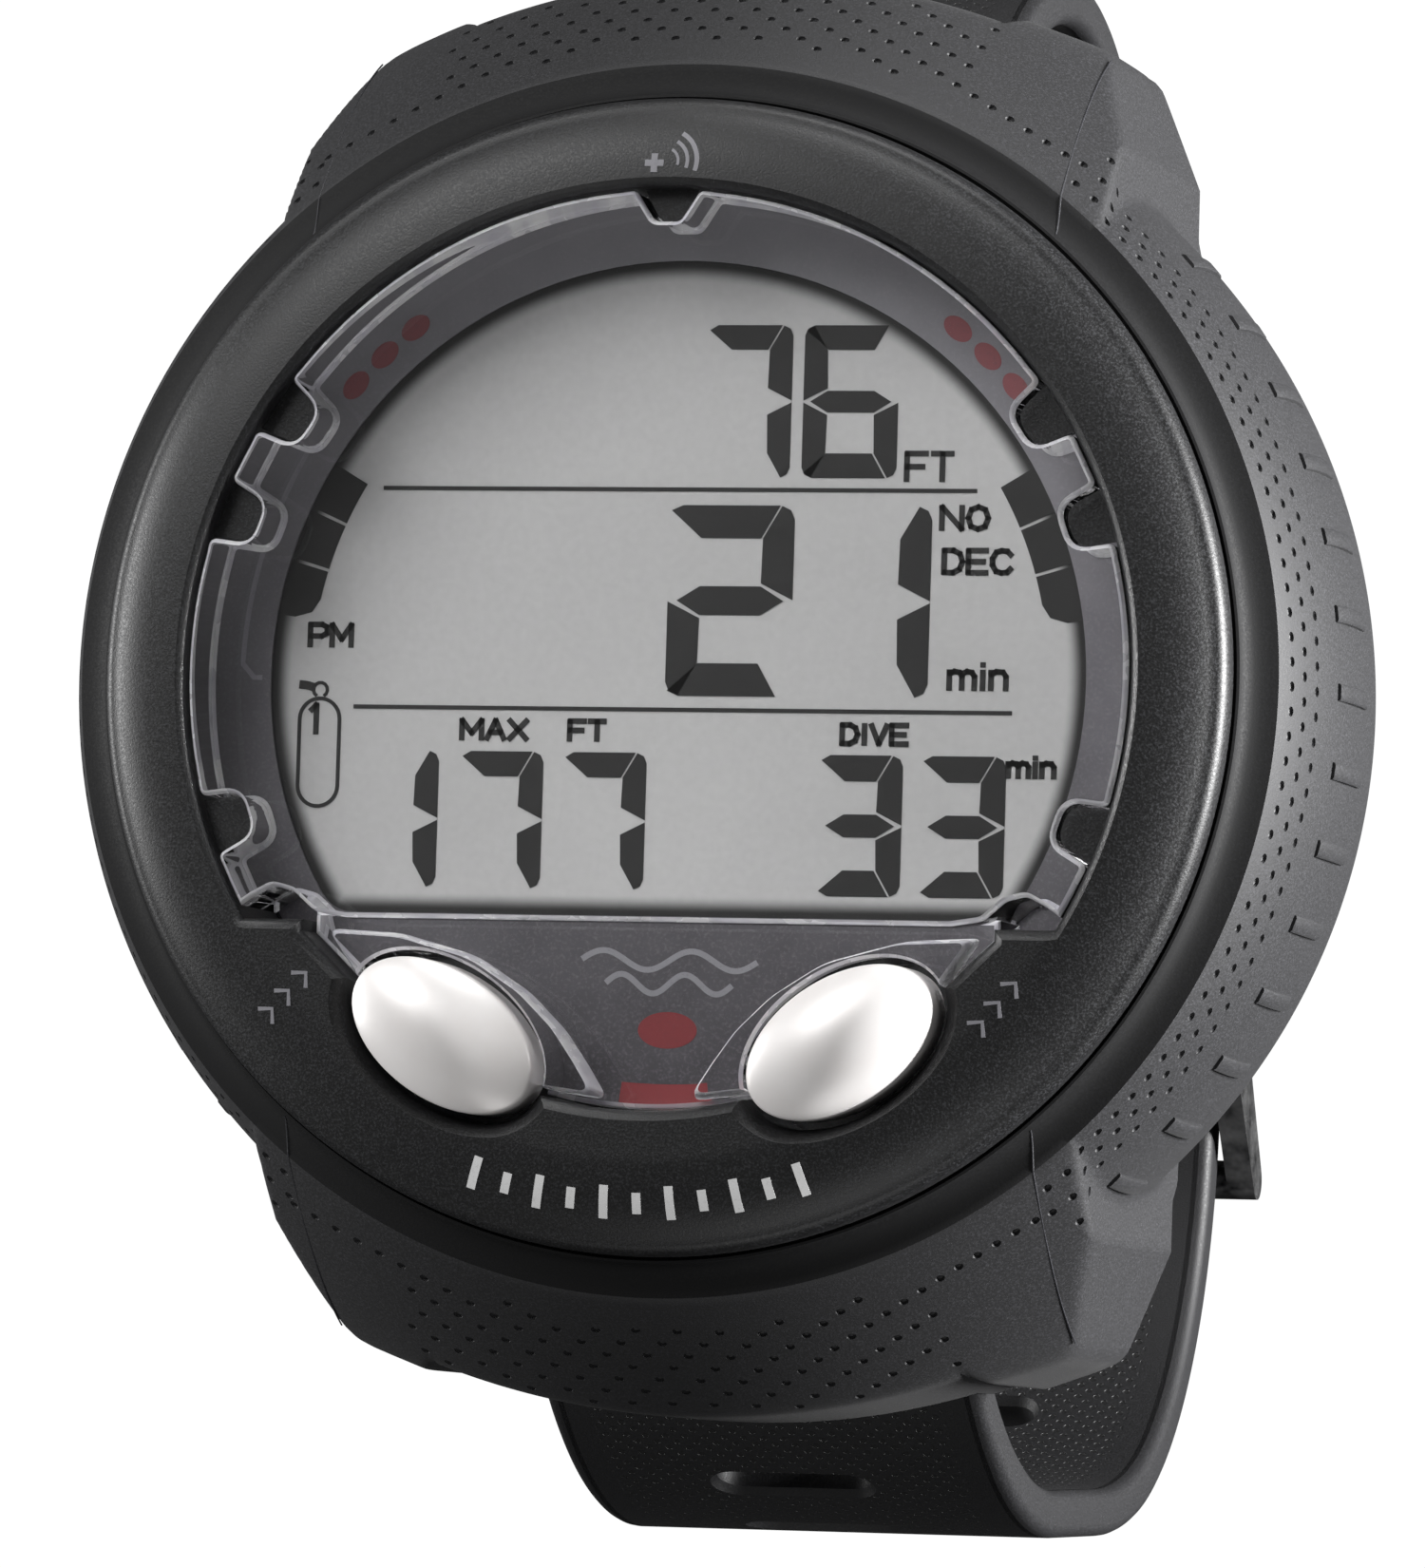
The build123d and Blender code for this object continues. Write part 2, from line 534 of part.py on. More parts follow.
# ---- boot with its lugs --------------------------------------------------------------------------
def lug_outline():
    """Seen from the front: slab sides, cut corners, and an arched cover over the strap's end."""
    cover_y = 39.4
    with BuildSketch(mode=Mode.PRIVATE) as outline:
        with BuildLine():
            Polyline((0, 20), (LUG_HALF_X, 20), (LUG_HALF_X, 31.4), (22.0, 37.4))
            ThreePointArc((22.0, 37.4), (21.4, 38.1), (20.5, 38.5))
            Polyline((20.5, 38.5), (17.0, 39.7), (16.4, 39.5), (16.2, 38.9),
                     (LUG_COVER_HALF_X - 0.4, cover_y))
            ThreePointArc((LUG_COVER_HALF_X - 0.4, cover_y), (8.2, 41.45), (0, LUG_END_Y))
            Line((0, LUG_END_Y), (0, 20))
        make_face()
        mirror(about=Plane.YZ)
    return outline.sketch


def boot_wall(flare):
    """Half section of the boot, from the collar down the side wall; a lug flares out further."""
    with BuildSketch(mode=Mode.PRIVATE) as section:
        with BuildLine():
            ThreePointArc((BEZEL_R + 0.35, GROOVE_Z - 0.1), (34.2, 28.95), (COLLAR_R, COLLAR_Z))
            if flare:
                Spline((COLLAR_R, COLLAR_Z), (39.3, 23.6), (43.4, 16.0), (44.6, 8.0))
                Polyline((44.6, 8.0), (44.0, BOOT_BOTTOM_Z + 1.2), (0, BOOT_BOTTOM_Z + 1.2), (0, GROOVE_Z - 0.1),
                         (BEZEL_R + 0.35, GROOVE_Z - 0.1))
            else:
                Spline((COLLAR_R, COLLAR_Z), (37.1, 23.4), (WALL_R, WALL_Z), (37.0, 8.0),
                       (BOOT_FOOT_R, BOOT_BOTTOM_Z))
                Polyline((BOOT_FOOT_R, BOOT_BOTTOM_Z), (0, BOOT_BOTTOM_Z), (0, GROOVE_Z - 0.1),
                         (BEZEL_R + 0.35, GROOVE_Z - 0.1))
        make_face()
    return section.sketch


with BuildPart() as lug_flare:
    with BuildSketch(Plane.XZ):
        add(boot_wall(True))
    revolve(axis=Axis.Z)

with BuildPart() as lugs:
    with BuildSketch(Plane.XY):
        add(lug_outline())
        mirror(lug_outline(), about=Plane.XZ)
    extrude(amount=GROOVE_Z)
    add(lug_flare.part, mode=Mode.INTERSECT)

POCKET_HALF_X = STRAP_W / 2 + STRAP_GAP
with BuildPart() as boot:
    with BuildSketch(Plane.XZ):
        add(boot_wall(False))
    revolve(axis=Axis.Z)
    add(lugs.part)
    Cylinder(CASE_R + SHAFT_GAP, 80, mode=Mode.SUBTRACT)
    with Locations((0, 0, GROOVE_Z - 0.55)):
        Cylinder(BEZEL_R + 0.12, 4, align=(Align.CENTER, Align.CENTER, Align.MIN), mode=Mode.SUBTRACT)
    # the strap's pocket in each lug, open to the back
    for side in (1, -1):
        with BuildSketch(Plane.YZ):
            with Locations((side * PIN_Y, PIN_Z)):
                Circle(KNUCKLE_R + STRAP_GAP)
            with BuildLine():
                Polyline((side * (PIN_Y - KNUCKLE_R - STRAP_GAP), PIN_Z),
                         (side * (PIN_Y - KNUCKLE_R - STRAP_GAP), -2), (side * 46, -2), (side * 46, PIN_Z - 2.6),
                         (side * (PIN_Y + KNUCKLE_R + STRAP_GAP), PIN_Z + 0.6),
                         (side * (PIN_Y - KNUCKLE_R - STRAP_GAP), PIN_Z))
            make_face()
        extrude(amount=POCKET_HALF_X, both=True, mode=Mode.SUBTRACT)
    with Locations(*[Location((0, side * PIN_Y, PIN_Z), (0, 90, 0)) for side in (1, -1)]):
        Cylinder(PIN_R + SHAFT_GAP, 2 * PIN_HALF + 0.4, mode=Mode.SUBTRACT)
keep(boot.part, "boot")

# ---- strap ---------------------------------------------------------------------------------------
def strap_path(start, heading, steps):
    """Chain of tangent runs: each step is (radius, turn in degrees), or (0, length) for a straight one."""
    edges, point, angle = [], start, heading
    for radius, amount in steps:
        along = (cos(radians(angle)), sin(radians(angle)))
        if radius:
            way = 1 if amount > 0 else -1
            middle = (point[0] - way * radius * along[1], point[1] + way * radius * along[0])
            edges.append(("arc", point, middle, radius, angle, amount))
            angle += amount
            point = (middle[0] + way * radius * sin(radians(angle)),
                     middle[1] - way * radius * cos(radians(angle)))
        else:
            end = (point[0] + amount * along[0], point[1] + amount * along[1])
            edges.append(("line", point, end, amount, angle, 0))
            point = end
    return edges, point, angle


def run_length(run):
    kind, _, _, size, _, amount = run
    return size if kind == "line" else size * abs(radians(amount))


def place_on(edges, distance):
    """Point and heading at a distance along a chain of runs."""
    step = 0
    while step < len(edges) - 1 and distance > run_length(edges[step]):
        distance -= run_length(edges[step])
        step += 1
    kind, point, other, size, angle, amount = edges[step]
    if kind == "line":
        along = (cos(radians(angle)), sin(radians(angle)))
        return (point[0] + distance * along[0], point[1] + distance * along[1]), angle
    way = 1 if amount > 0 else -1
    turned = angle + way * degrees(distance / size)
    return (other[0] + way * size * sin(radians(turned)), other[1] - way * size * cos(radians(turned))), turned


def chain_length(edges):
    return sum(run_length(run) for run in edges)


def draw_chain(edges, side):
    """Draw the chain, moved sideways by side, inside an open BuildLine."""
    for kind, point, other, size, angle, amount in edges:
        out = (-sin(radians(angle)) * side, cos(radians(angle)) * side)
        if kind == "line":
            Line((point[0] + out[0], point[1] + out[1]), (other[0] + out[0], other[1] + out[1]))
        else:
            way = 1 if amount > 0 else -1
            radius = size - way * side
            first = angle - way * 90
            CenterArc(other, radius, first, amount)


def strip_section(edges, thickness):
    """Closed strip of a thickness along a chain, drawn flat."""
    first, last = place_on(edges, 0), place_on(edges, chain_length(edges))
    half = thickness / 2
    with BuildSketch(mode=Mode.PRIVATE) as strip:
        with BuildLine():
            draw_chain(edges, half)
            draw_chain(edges, -half)
            for (y, z), angle in (first, last):
                out = (-sin(radians(angle)) * half, cos(radians(angle)) * half)
                Line((y + out[0], z + out[1]), (y - out[0], z - out[1]))
        make_face()
    return strip.sketch


def long_edges(strip):
    """The edges that run along a strap, on both its sides."""
    sides = strip.faces().sort_by(Axis.X)
    return [edge for side in (sides[0], sides[-1]) for edge in side.edges() if abs(edge.length - STRAP_T) > 0.01]


# the tail half: from the lower pin round the wrist to its free end
TAIL_STEPS = ((0, 2.5), (30.8, 45.9), (0, 12.2), (41.8, 12.0), (27.1, 76.8), (0, 28.27), (18.25, 53.0), (0, 14.0))
TAIL_HEADING = 225.3
tail_edges, tail_end, _ = strap_path((-PIN_Y - 0.3, PIN_Z - 0.3), TAIL_HEADING, TAIL_STEPS)
TAIL_LENGTH = chain_length(tail_edges)
TONGUE_SLOT_AT = 84.7      # along the tail, the slot that the tongue is in
SLOTS_BEFORE, SLOTS_AFTER = 8, 5
EDGE_ROUND = 0.7

with BuildPart() as lower_strap:
    with BuildSketch(Plane.YZ):
        add(strip_section(tail_edges, STRAP_T))
    extrude(amount=STRAP_W / 2, both=True)
    tip = lower_strap.edges().filter_by(lambda e: abs(e.length - STRAP_T) < 0.01)
    fillet(tip.sort_by_distance((0, tail_end[0], tail_end[1]))[:2], 8.0)
    fillet(long_edges(lower_strap), EDGE_ROUND)
    with BuildSketch(Plane.YZ):
        with Locations((-PIN_Y, PIN_Z)):
            Circle(KNUCKLE_R)
    extrude(amount=STRAP_W / 2, both=True)
    with Locations(Location((0, -PIN_Y, PIN_Z), (0, 90, 0))):
        Cylinder(PIN_R + SHAFT_GAP, STRAP_W + 2, mode=Mode.SUBTRACT)
    for step in range(-SLOTS_BEFORE, SLOTS_AFTER + 1):
        (y, z), angle = place_on(tail_edges, TONGUE_SLOT_AT + step * SLOT_PITCH)
        across = Plane((0, y, z), x_dir=(1, 0, 0), z_dir=(0, -sin(radians(angle)), cos(radians(angle))))
        with BuildSketch(across):
            SlotOverall(SLOT_LENGTH, SLOT_W)
        extrude(amount=STRAP_T, both=True, mode=Mode.SUBTRACT)
keep(lower_strap.part, "lower_strap")

# the buckle half: from the upper pin down to the buckle's bar
HALF_STEPS = ((0, 2.5), (24.4, -37.9), (20.6, -43.1), (0, 32.4), (15.0, -53.0), (0, 22.6))
HALF_HEADING = 314.0
half_edges, half_end, _ = strap_path((PIN_Y + 0.3, PIN_Z - 0.3), HALF_HEADING, HALF_STEPS)
BAR_Z = half_end[1] + 0.7
TONGUE_GAP_HALF = 2.2

with BuildPart() as upper_strap:
    with BuildSketch(Plane.YZ):
        add(strip_section(half_edges, STRAP_T))
    extrude(amount=STRAP_W / 2, both=True)
    fillet(long_edges(upper_strap), EDGE_ROUND)
    with BuildSketch(Plane.YZ):
        with Locations((PIN_Y, PIN_Z)):
            Circle(KNUCKLE_R)
        with Locations((BAR_Y, BAR_Z)):
            Circle(BAR_KNUCKLE_R)
    extrude(amount=STRAP_W / 2, both=True)
    with Locations(Location((0, PIN_Y, PIN_Z), (0, 90, 0))):
        Cylinder(PIN_R + SHAFT_GAP, STRAP_W + 2, mode=Mode.SUBTRACT)
    with Locations(Location((0, BAR_Y, BAR_Z), (0, 90, 0))):
        Cylinder(BAR_R + SHAFT_GAP, STRAP_W + 2, mode=Mode.SUBTRACT)
    with Locations((0, BAR_Y - 1.0, BAR_Z)):
        Box(2 * TONGUE_GAP_HALF, 8.0, 8.0, mode=Mode.SUBTRACT)
keep(upper_strap.part, "upper_strap")

for name, y in (("upper_pin", PIN_Y), ("lower_pin", -PIN_Y)):
    with BuildPart() as pin:
        with Locations(Location((0, y, PIN_Z), (0, 90, 0))):
            Cylinder(PIN_R, 2 * PIN_HALF)
        chamfer(pin.edges().filter_by(GeomType.CIRCLE), 0.25)
    keep(pin.part, name)

# ---- buckle --------------------------------------------------------------------------------------
RAIL_IN = STRAP_W / 2 + 0.45
RAIL_OUT = RAIL_IN + 1.75
FAR_Y, FAR_Z, FAR_R = -24.7, REST_Z + 1.25, 1.25
HUB_R = 2.0
TONGUE_HALF = 1.6

with BuildSketch(mode=Mode.PRIVATE) as rail:
    with Locations((BAR_Y, BAR_Z)):
        Circle(HUB_R)
    with Locations((FAR_Y, FAR_Z)):
        Circle(FAR_R)
    make_hull()

with BuildPart() as buckle_frame:
    for way in (1, -1):
        with BuildSketch(Plane.YZ.offset(way * RAIL_IN)):
            add(rail.sketch)
        extrude(amount=way * (RAIL_OUT - RAIL_IN))
    # far bar, with a seat for the tongue's tip
    with BuildSketch(Plane.YZ):
        with Locations((FAR_Y, FAR_Z)):
            Circle(FAR_R)
    extrude(amount=RAIL_OUT, both=True)
    with Locations((0, FAR_Y, FAR_Z - FAR_R)):
        Box(2 * TONGUE_HALF + 0.6, 3.2, 2 * 0.85, mode=Mode.SUBTRACT)
    with Locations(Location((0, BAR_Y, BAR_Z), (0, 90, 0))):
        Cylinder(BAR_R + SHAFT_GAP, 40, mode=Mode.SUBTRACT)
keep(buckle_frame.part, "buckle_frame")

with BuildPart() as buckle_bar:
    with Locations(Location((0, BAR_Y, BAR_Z), (0, 90, 0))):
        Cylinder(BAR_R, 2 * RAIL_OUT - 0.2)
keep(buckle_bar.part, "buckle_bar")

(slot_y, slot_z), _ = place_on(tail_edges, TONGUE_SLOT_AT)
STEM_HALF = 0.5            # half the stem's thickness where it passes the slot
TIP_TOP_Z = REST_Z + 0.75
TAIL_UNDER_Z = FLAT_Z - STRAP_T / 2
with BuildPart() as buckle_tongue:
    with BuildSketch(Plane.YZ):
        with BuildLine():
            Polyline((BAR_Y, BAR_Z + 0.6), (slot_y - STEM_HALF, BAR_Z - 0.9),
                     (slot_y - STEM_HALF, TAIL_UNDER_Z - 0.75), (FAR_Y + 1.0, TIP_TOP_Z), (FAR_Y - 1.2, TIP_TOP_Z),
                     (FAR_Y - 1.2, REST_Z + 0.05), (slot_y - 0.2, TAIL_UNDER_Z - 1.75),
                     (slot_y + STEM_HALF, TAIL_UNDER_Z - 1.2), (slot_y + STEM_HALF, BAR_Z - 1.55),
                     (BAR_Y, BAR_Z - 1.7), (BAR_Y, BAR_Z + 0.6))
        make_face()
        with Locations((BAR_Y, BAR_Z)):
            Circle(HUB_R - 0.1)
    extrude(amount=TONGUE_HALF, both=True)
    with Locations(Location((0, BAR_Y, BAR_Z), (0, 90, 0))):
        Cylinder(BAR_R + SHAFT_GAP, 40, mode=Mode.SUBTRACT)
keep(buckle_tongue.part, "buckle_tongue")

# ---- keepers on the flat run ---------------------------------------------------------------------
KEEPER_W = 5.0
KEEPER_GAP = 0.35
KEEPER_SIDE = 1.9
KEEPER_TOP_T = 1.6
KEEPER_IN_LOW = FLAT_Z - STRAP_T / 2 - KEEPER_GAP
BUCKLE_HALF_TOP_Z = half_end[1] + STRAP_T / 2
KEEPER_OUT_HIGH = BUCKLE_HALF_TOP_Z + KEEPER_GAP + KEEPER_TOP_T
# the front keeper slides; the rear one is a fixed loop whose roof bears on the buckle half
for name, y, roof_gap in (("keeper_front", -8.0, KEEPER_GAP), ("keeper_rear", 6.6, 0.0)):
    with BuildPart() as keeper:
        with BuildSketch(Plane.XZ.offset(-y)):
            with Locations((0, (REST_Z + KEEPER_OUT_HIGH) / 2)):
                RectangleRounded(STRAP_W + 2 * (KEEPER_GAP + KEEPER_SIDE), KEEPER_OUT_HIGH - REST_Z, 1.8)
            with Locations((0, (KEEPER_IN_LOW + BUCKLE_HALF_TOP_Z + roof_gap) / 2)):
                Rectangle(STRAP_W + 2 * KEEPER_GAP, BUCKLE_HALF_TOP_Z + roof_gap - KEEPER_IN_LOW, mode=Mode.SUBTRACT)
        extrude(amount=KEEPER_W / 2, both=True)
    keep(keeper.part, name)
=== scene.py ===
"""Looks of a round wrist dive computer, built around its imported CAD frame.

Lengths in the classes below are millimetres in the row frame: +X towards 3 o'clock, +Y towards 12 o'clock
and +Z out of the display. They become metres when a mesh is made. Each class holds one sub-assembly.
"""
import json
import logging
from dataclasses import dataclass
from enum import Enum
from typing import Callable, Optional, Sequence

import bmesh
import bpy
import numpy as np
from mathutils import Matrix, Vector


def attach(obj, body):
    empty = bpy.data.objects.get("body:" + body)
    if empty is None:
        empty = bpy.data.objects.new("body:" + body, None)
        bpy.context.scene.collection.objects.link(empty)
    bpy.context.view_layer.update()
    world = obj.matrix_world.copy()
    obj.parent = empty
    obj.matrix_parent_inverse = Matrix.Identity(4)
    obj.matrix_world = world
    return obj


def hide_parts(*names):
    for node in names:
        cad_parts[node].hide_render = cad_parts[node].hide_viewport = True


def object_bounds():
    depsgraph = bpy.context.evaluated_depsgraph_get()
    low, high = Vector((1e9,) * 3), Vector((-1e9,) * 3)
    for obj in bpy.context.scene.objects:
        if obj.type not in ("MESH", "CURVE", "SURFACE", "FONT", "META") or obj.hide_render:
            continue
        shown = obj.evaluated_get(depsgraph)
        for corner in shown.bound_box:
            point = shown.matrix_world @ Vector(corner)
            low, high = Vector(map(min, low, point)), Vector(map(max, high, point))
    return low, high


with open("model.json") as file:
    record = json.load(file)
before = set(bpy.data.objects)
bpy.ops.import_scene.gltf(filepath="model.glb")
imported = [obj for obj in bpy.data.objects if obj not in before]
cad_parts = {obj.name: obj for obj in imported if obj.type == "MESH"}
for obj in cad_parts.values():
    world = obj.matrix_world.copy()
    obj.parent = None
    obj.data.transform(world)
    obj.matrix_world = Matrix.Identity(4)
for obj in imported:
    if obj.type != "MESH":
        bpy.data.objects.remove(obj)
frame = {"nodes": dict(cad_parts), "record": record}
CAD_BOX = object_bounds()

logging.basicConfig(level=logging.INFO, format="%(message)s")
log = logging.getLogger("dive_computer")

MM = 0.001
CASE = "case"
SHARP = np.radians(32)
LARGE_FACE = 3.0    # square millimetres; larger faces are flat ones
LEVEL = 0.99999     # a face whose normal has a Z part over this is level


# ---- colours and nodes ------------------------------------------------------------------------------
def linear(code: str) -> tuple[float, float, float, float]:
    """Turn an sRGB hex colour into linear RGBA.

    Args:
        code: six hex digits.
    Returns:
        Red, green, blue and 1.
    """
    parts = np.array([int(code[i:i + 2], 16) for i in (0, 2, 4)]) / 255
    flat = np.where(parts <= 0.04045, parts / 12.92, ((parts + 0.055) / 1.055) ** 2.4)
    return (*flat.tolist(), 1.0)


def add_node(tree: bpy.types.NodeTree, kind: str, inputs: Optional[dict] = None,
             **settings) -> bpy.types.Node:
    """Add one node, set it up and link it.

    Args:
        tree: the node tree to add to.
        kind: the node's type name.
        inputs: input name or index to a value, or to an output socket that feeds it.
        settings: the node's own properties.
    Returns:
        The new node.
    """
    node = tree.nodes.new(kind)
    for name, value in settings.items():
        setattr(node, name, value)
    for name, value in (inputs or {}).items():
        if isinstance(value, bpy.types.NodeSocket):
            tree.links.new(value, node.inputs[name])
        else:
            node.inputs[name].default_value = value
    return node


def noise(tree: bpy.types.NodeTree, where: bpy.types.NodeSocket, size_mm: float, detail: float = 2.0):
    """Noise whose grains are about size_mm across; returns its value socket."""
    inputs = {"Vector": where, "Scale": 1 / (size_mm * MM), "Detail": detail, "Roughness": 0.6}
    return add_node(tree, "ShaderNodeTexNoise", inputs).outputs[0]


def remap(tree: bpy.types.NodeTree, value: bpy.types.NodeSocket, low: float, high: float, to_low: float = 0.0,
          to_high: float = 1.0, smooth: bool = False):
    """Carry value from low..high to to_low..to_high, clamped; returns the result socket."""
    inputs = {"Value": value, "From Min": low, "From Max": high, "To Min": to_low, "To Max": to_high}
    kind = "SMOOTHSTEP" if smooth else "LINEAR"
    return add_node(tree, "ShaderNodeMapRange", inputs, interpolation_type=kind).outputs[0]


def blend_colours(tree: bpy.types.NodeTree, share: bpy.types.NodeSocket, first, second):
    """Mix two colours, hex codes or sockets, by share; returns the colour socket."""
    pair = {key: linear(c) if isinstance(c, str) else c for key, c in ((6, first), (7, second))}
    return add_node(tree, "ShaderNodeMix", {0: share, **pair}, data_type="RGBA").outputs[2]


def reckon(tree: bpy.types.NodeTree, operation: str, *values):
    """One step of arithmetic on sockets and numbers; returns the result socket."""
    return add_node(tree, "ShaderNodeMath", dict(enumerate(values)), operation=operation).outputs[0]


def add_bump(tree: bpy.types.NodeTree, shader: bpy.types.Node, height: bpy.types.NodeSocket, strength: float,
             depth_mm: float) -> None:
    """Raise and sink the shader's surface by a height socket, depth_mm from nought to one."""
    inputs = {"Height": height, "Strength": strength, "Distance": depth_mm * MM}
    tree.links.new(add_node(tree, "ShaderNodeBump", inputs).outputs[0], shader.inputs["Normal"])


@dataclass(frozen=True)
class Finish:
    """A surface finish. name is the real material's; the subclass says how it was made."""

    name: str
    colour: str

    def material(self) -> bpy.types.Material:
        """Make the Blender material, or return it if it has been made."""
        if self.name in bpy.data.materials:
            return bpy.data.materials[self.name]
        made = bpy.data.materials.new(self.name)
        made.use_nodes = True
        tree = made.node_tree
        tree.nodes.clear()
        out = add_node(tree, "ShaderNodeOutputMaterial")
        shader = add_node(tree, "ShaderNodeBsdfPrincipled", {"Base Color": linear(self.colour)})
        tree.links.new(shader.outputs[0], out.inputs["Surface"])
        where = add_node(tree, "ShaderNodeTexCoord").outputs["Object"]
        self.dress(tree, shader, where)
        return made

    def dress(self, tree: bpy.types.NodeTree, shader: bpy.types.Node, where: bpy.types.NodeSocket) -> None:
        """Give the shader its detail; each finish has its own."""


@dataclass(frozen=True)
class MouldedPolymer(Finish):
    """Moulded plastic or rubber with an eroded mould grain.

    The grain gives light flecks and a broken gloss; a slow mottle keeps large faces from looking flat.
    """

    fleck: str = "55565a"
    grain_mm: float = 0.16
    fleck_from: float = 0.52
    gloss: tuple[float, float] = (0.42, 0.62)
    bump_mm: float = 0.02
    sheen: float = 0.0
    specular: float = 0.5

    def dress(self, tree, shader, where) -> None:
        """Flecks, gloss and bump from fine noise; coarse noise thins the flecks here and there."""
        fine = noise(tree, where, self.grain_mm)
        mottle = noise(tree, where, 9.0, 3.0)
        flecks = remap(tree, fine, self.fleck_from, 0.74)
        share = reckon(tree, "MULTIPLY", flecks, remap(tree, mottle, 0.25, 0.75, 0.72, 1.0))
        tree.links.new(blend_colours(tree, share, self.colour, self.fleck), shader.inputs["Base Color"])
        tree.links.new(remap(tree, fine, 0.3, 0.7, *self.gloss), shader.inputs["Roughness"])
        add_bump(tree, shader, fine, 0.55, self.bump_mm)
        shader.inputs["Sheen Weight"].default_value = self.sheen
        shader.inputs["Specular IOR Level"].default_value = self.specular


@dataclass(frozen=True)
class StrapRubber(Finish):
    """Moulded polyurethane strap: matte, with a field of small pits between plain borders.

    The pits stand in rows at 45 degrees. The map "strap" holds millimetres across and along.
    """

    fleck: str = "222226"
    pitch_mm: float = 0.86
    half_field_mm: float = 10.9
    depth_mm: float = 0.16

    def dress(self, tree, shader, where) -> None:
        """A pit lattice, the product of two squared sine waves, faded out at the borders; the pits are sunk
        by the bump and darkened as painted shade.
        """
        place = add_node(tree, "ShaderNodeUVMap", uv_map="strap").outputs[0]
        apart = add_node(tree, "ShaderNodeSeparateXYZ", {0: place})
        across, along = apart.outputs[0], apart.outputs[1]
        rate = np.pi / (self.pitch_mm * 2 ** 0.5)
        waves = []
        for step in ("ADD", "SUBTRACT"):
            turned = reckon(tree, "MULTIPLY", reckon(tree, step, across, along), rate)
            wave = reckon(tree, "SINE", turned)
            waves.append(reckon(tree, "MULTIPLY", wave, wave))
        pits = remap(tree, reckon(tree, "MULTIPLY", *waves), 0.42, 0.72, smooth=True)
        inside = remap(tree, reckon(tree, "ABSOLUTE", across), self.half_field_mm, self.half_field_mm - 0.3)
        pits = reckon(tree, "MULTIPLY", pits, inside)
        fine = noise(tree, where, 0.13)
        plain = blend_colours(tree, remap(tree, fine, 0.5, 0.78), self.colour, self.fleck)
        # Painted shade: the pits' colour goes to 0b0b0c, for the shade that falls in them.
        tree.links.new(blend_colours(tree, pits, plain, "0b0b0c"), shader.inputs["Base Color"])
        tree.links.new(remap(tree, fine, 0.3, 0.7, 0.5, 0.68), shader.inputs["Roughness"])
        height = reckon(tree, "SUBTRACT", reckon(tree, "MULTIPLY", fine, 0.12), pits)
        add_bump(tree, shader, height, 0.9, self.depth_mm)


@dataclass(frozen=True)
class ClearPolycarbonate(Finish):
    """Polished clear polycarbonate: bright bent edges, and faint handling marks on the faces.

    Rays to the lamps pass straight through, so the display behind it is lit.
    """

    def dress(self, tree, shader, where) -> None:
        """Full transmission with faint smears in the gloss."""
        smears = noise(tree, where, 3.5, 4.0)
        tree.links.new(remap(tree, smears, 0.45, 0.75, 0.0, 0.05), shader.inputs["Roughness"])
        shader.inputs["Transmission Weight"].default_value = 1.0
        shader.inputs["IOR"].default_value = 1.5
        path = add_node(tree, "ShaderNodeLightPath").outputs["Is Shadow Ray"]
        through = add_node(tree, "ShaderNodeBsdfTransparent", {"Color": linear(self.colour)})
        mixed = add_node(tree, "ShaderNodeMixShader", {0: path, 1: shader.outputs[0], 2: through.outputs[0]})
        out = next(n for n in tree.nodes if n.type == "OUTPUT_MATERIAL")
        tree.links.new(mixed.outputs[0], out.inputs["Surface"])


@dataclass(frozen=True)
class PaintedEdgeHighlight(Finish):
    """Clear polycarbonate with a pale, partly scattering finish on its edges: a painted highlight for the
    bright reflections along the window's edges, broken by fine noise.
    """

    scatter: float = 0.3

    def dress(self, tree, shader, where) -> None:
        """Part of the light goes through and part scatters off the pale painted highlight, broken by fine
        noise.
        """
        fine = noise(tree, where, 2.0, 2.0)
        tree.links.new(blend_colours(tree, remap(tree, fine, 0.35, 0.7), self.colour, "ffffff"),
                       shader.inputs["Base Color"])
        tree.links.new(remap(tree, fine, 0.3, 0.7, 0.12, 0.4), shader.inputs["Roughness"])
        shader.inputs["Transmission Weight"].default_value = self.scatter
        shader.inputs["IOR"].default_value = 1.5


@dataclass(frozen=True)
class PrintedFilm(Finish):
    """Screen-printed film: grey ink with fine rub marks, and painted shade that darkens it towards 6 o'clock,
    where less light falls.
    """

    # low is painted shade: the ink's colour at 6 o'clock, darker than at 12 o'clock where more light falls.
    low: str = "29252c"
    half_mm: float = 27.0

    def dress(self, tree, shader, where) -> None:
        """Painted shade by height on the dial, from low at 6 o'clock to the ink's colour at 12 o'clock,
        broken by coarse and fine noise.
        """
        height = add_node(tree, "ShaderNodeSeparateXYZ", {0: where}).outputs[1]
        rise = remap(tree, height, -self.half_mm * MM, self.half_mm * MM)
        cloud = noise(tree, where, 5.0, 4.0)
        share = reckon(tree, "ADD", rise, remap(tree, cloud, 0.3, 0.7, -0.07, 0.07))
        fine = noise(tree, where, 0.2)
        ink = blend_colours(tree, share, self.low, self.colour)
        tree.links.new(blend_colours(tree, remap(tree, fine, 0.5, 0.8, 0.0, 0.2), ink, "a8a4ac"),
                       shader.inputs["Base Color"])
        tree.links.new(remap(tree, fine, 0.3, 0.7, 0.42, 0.6), shader.inputs["Roughness"])


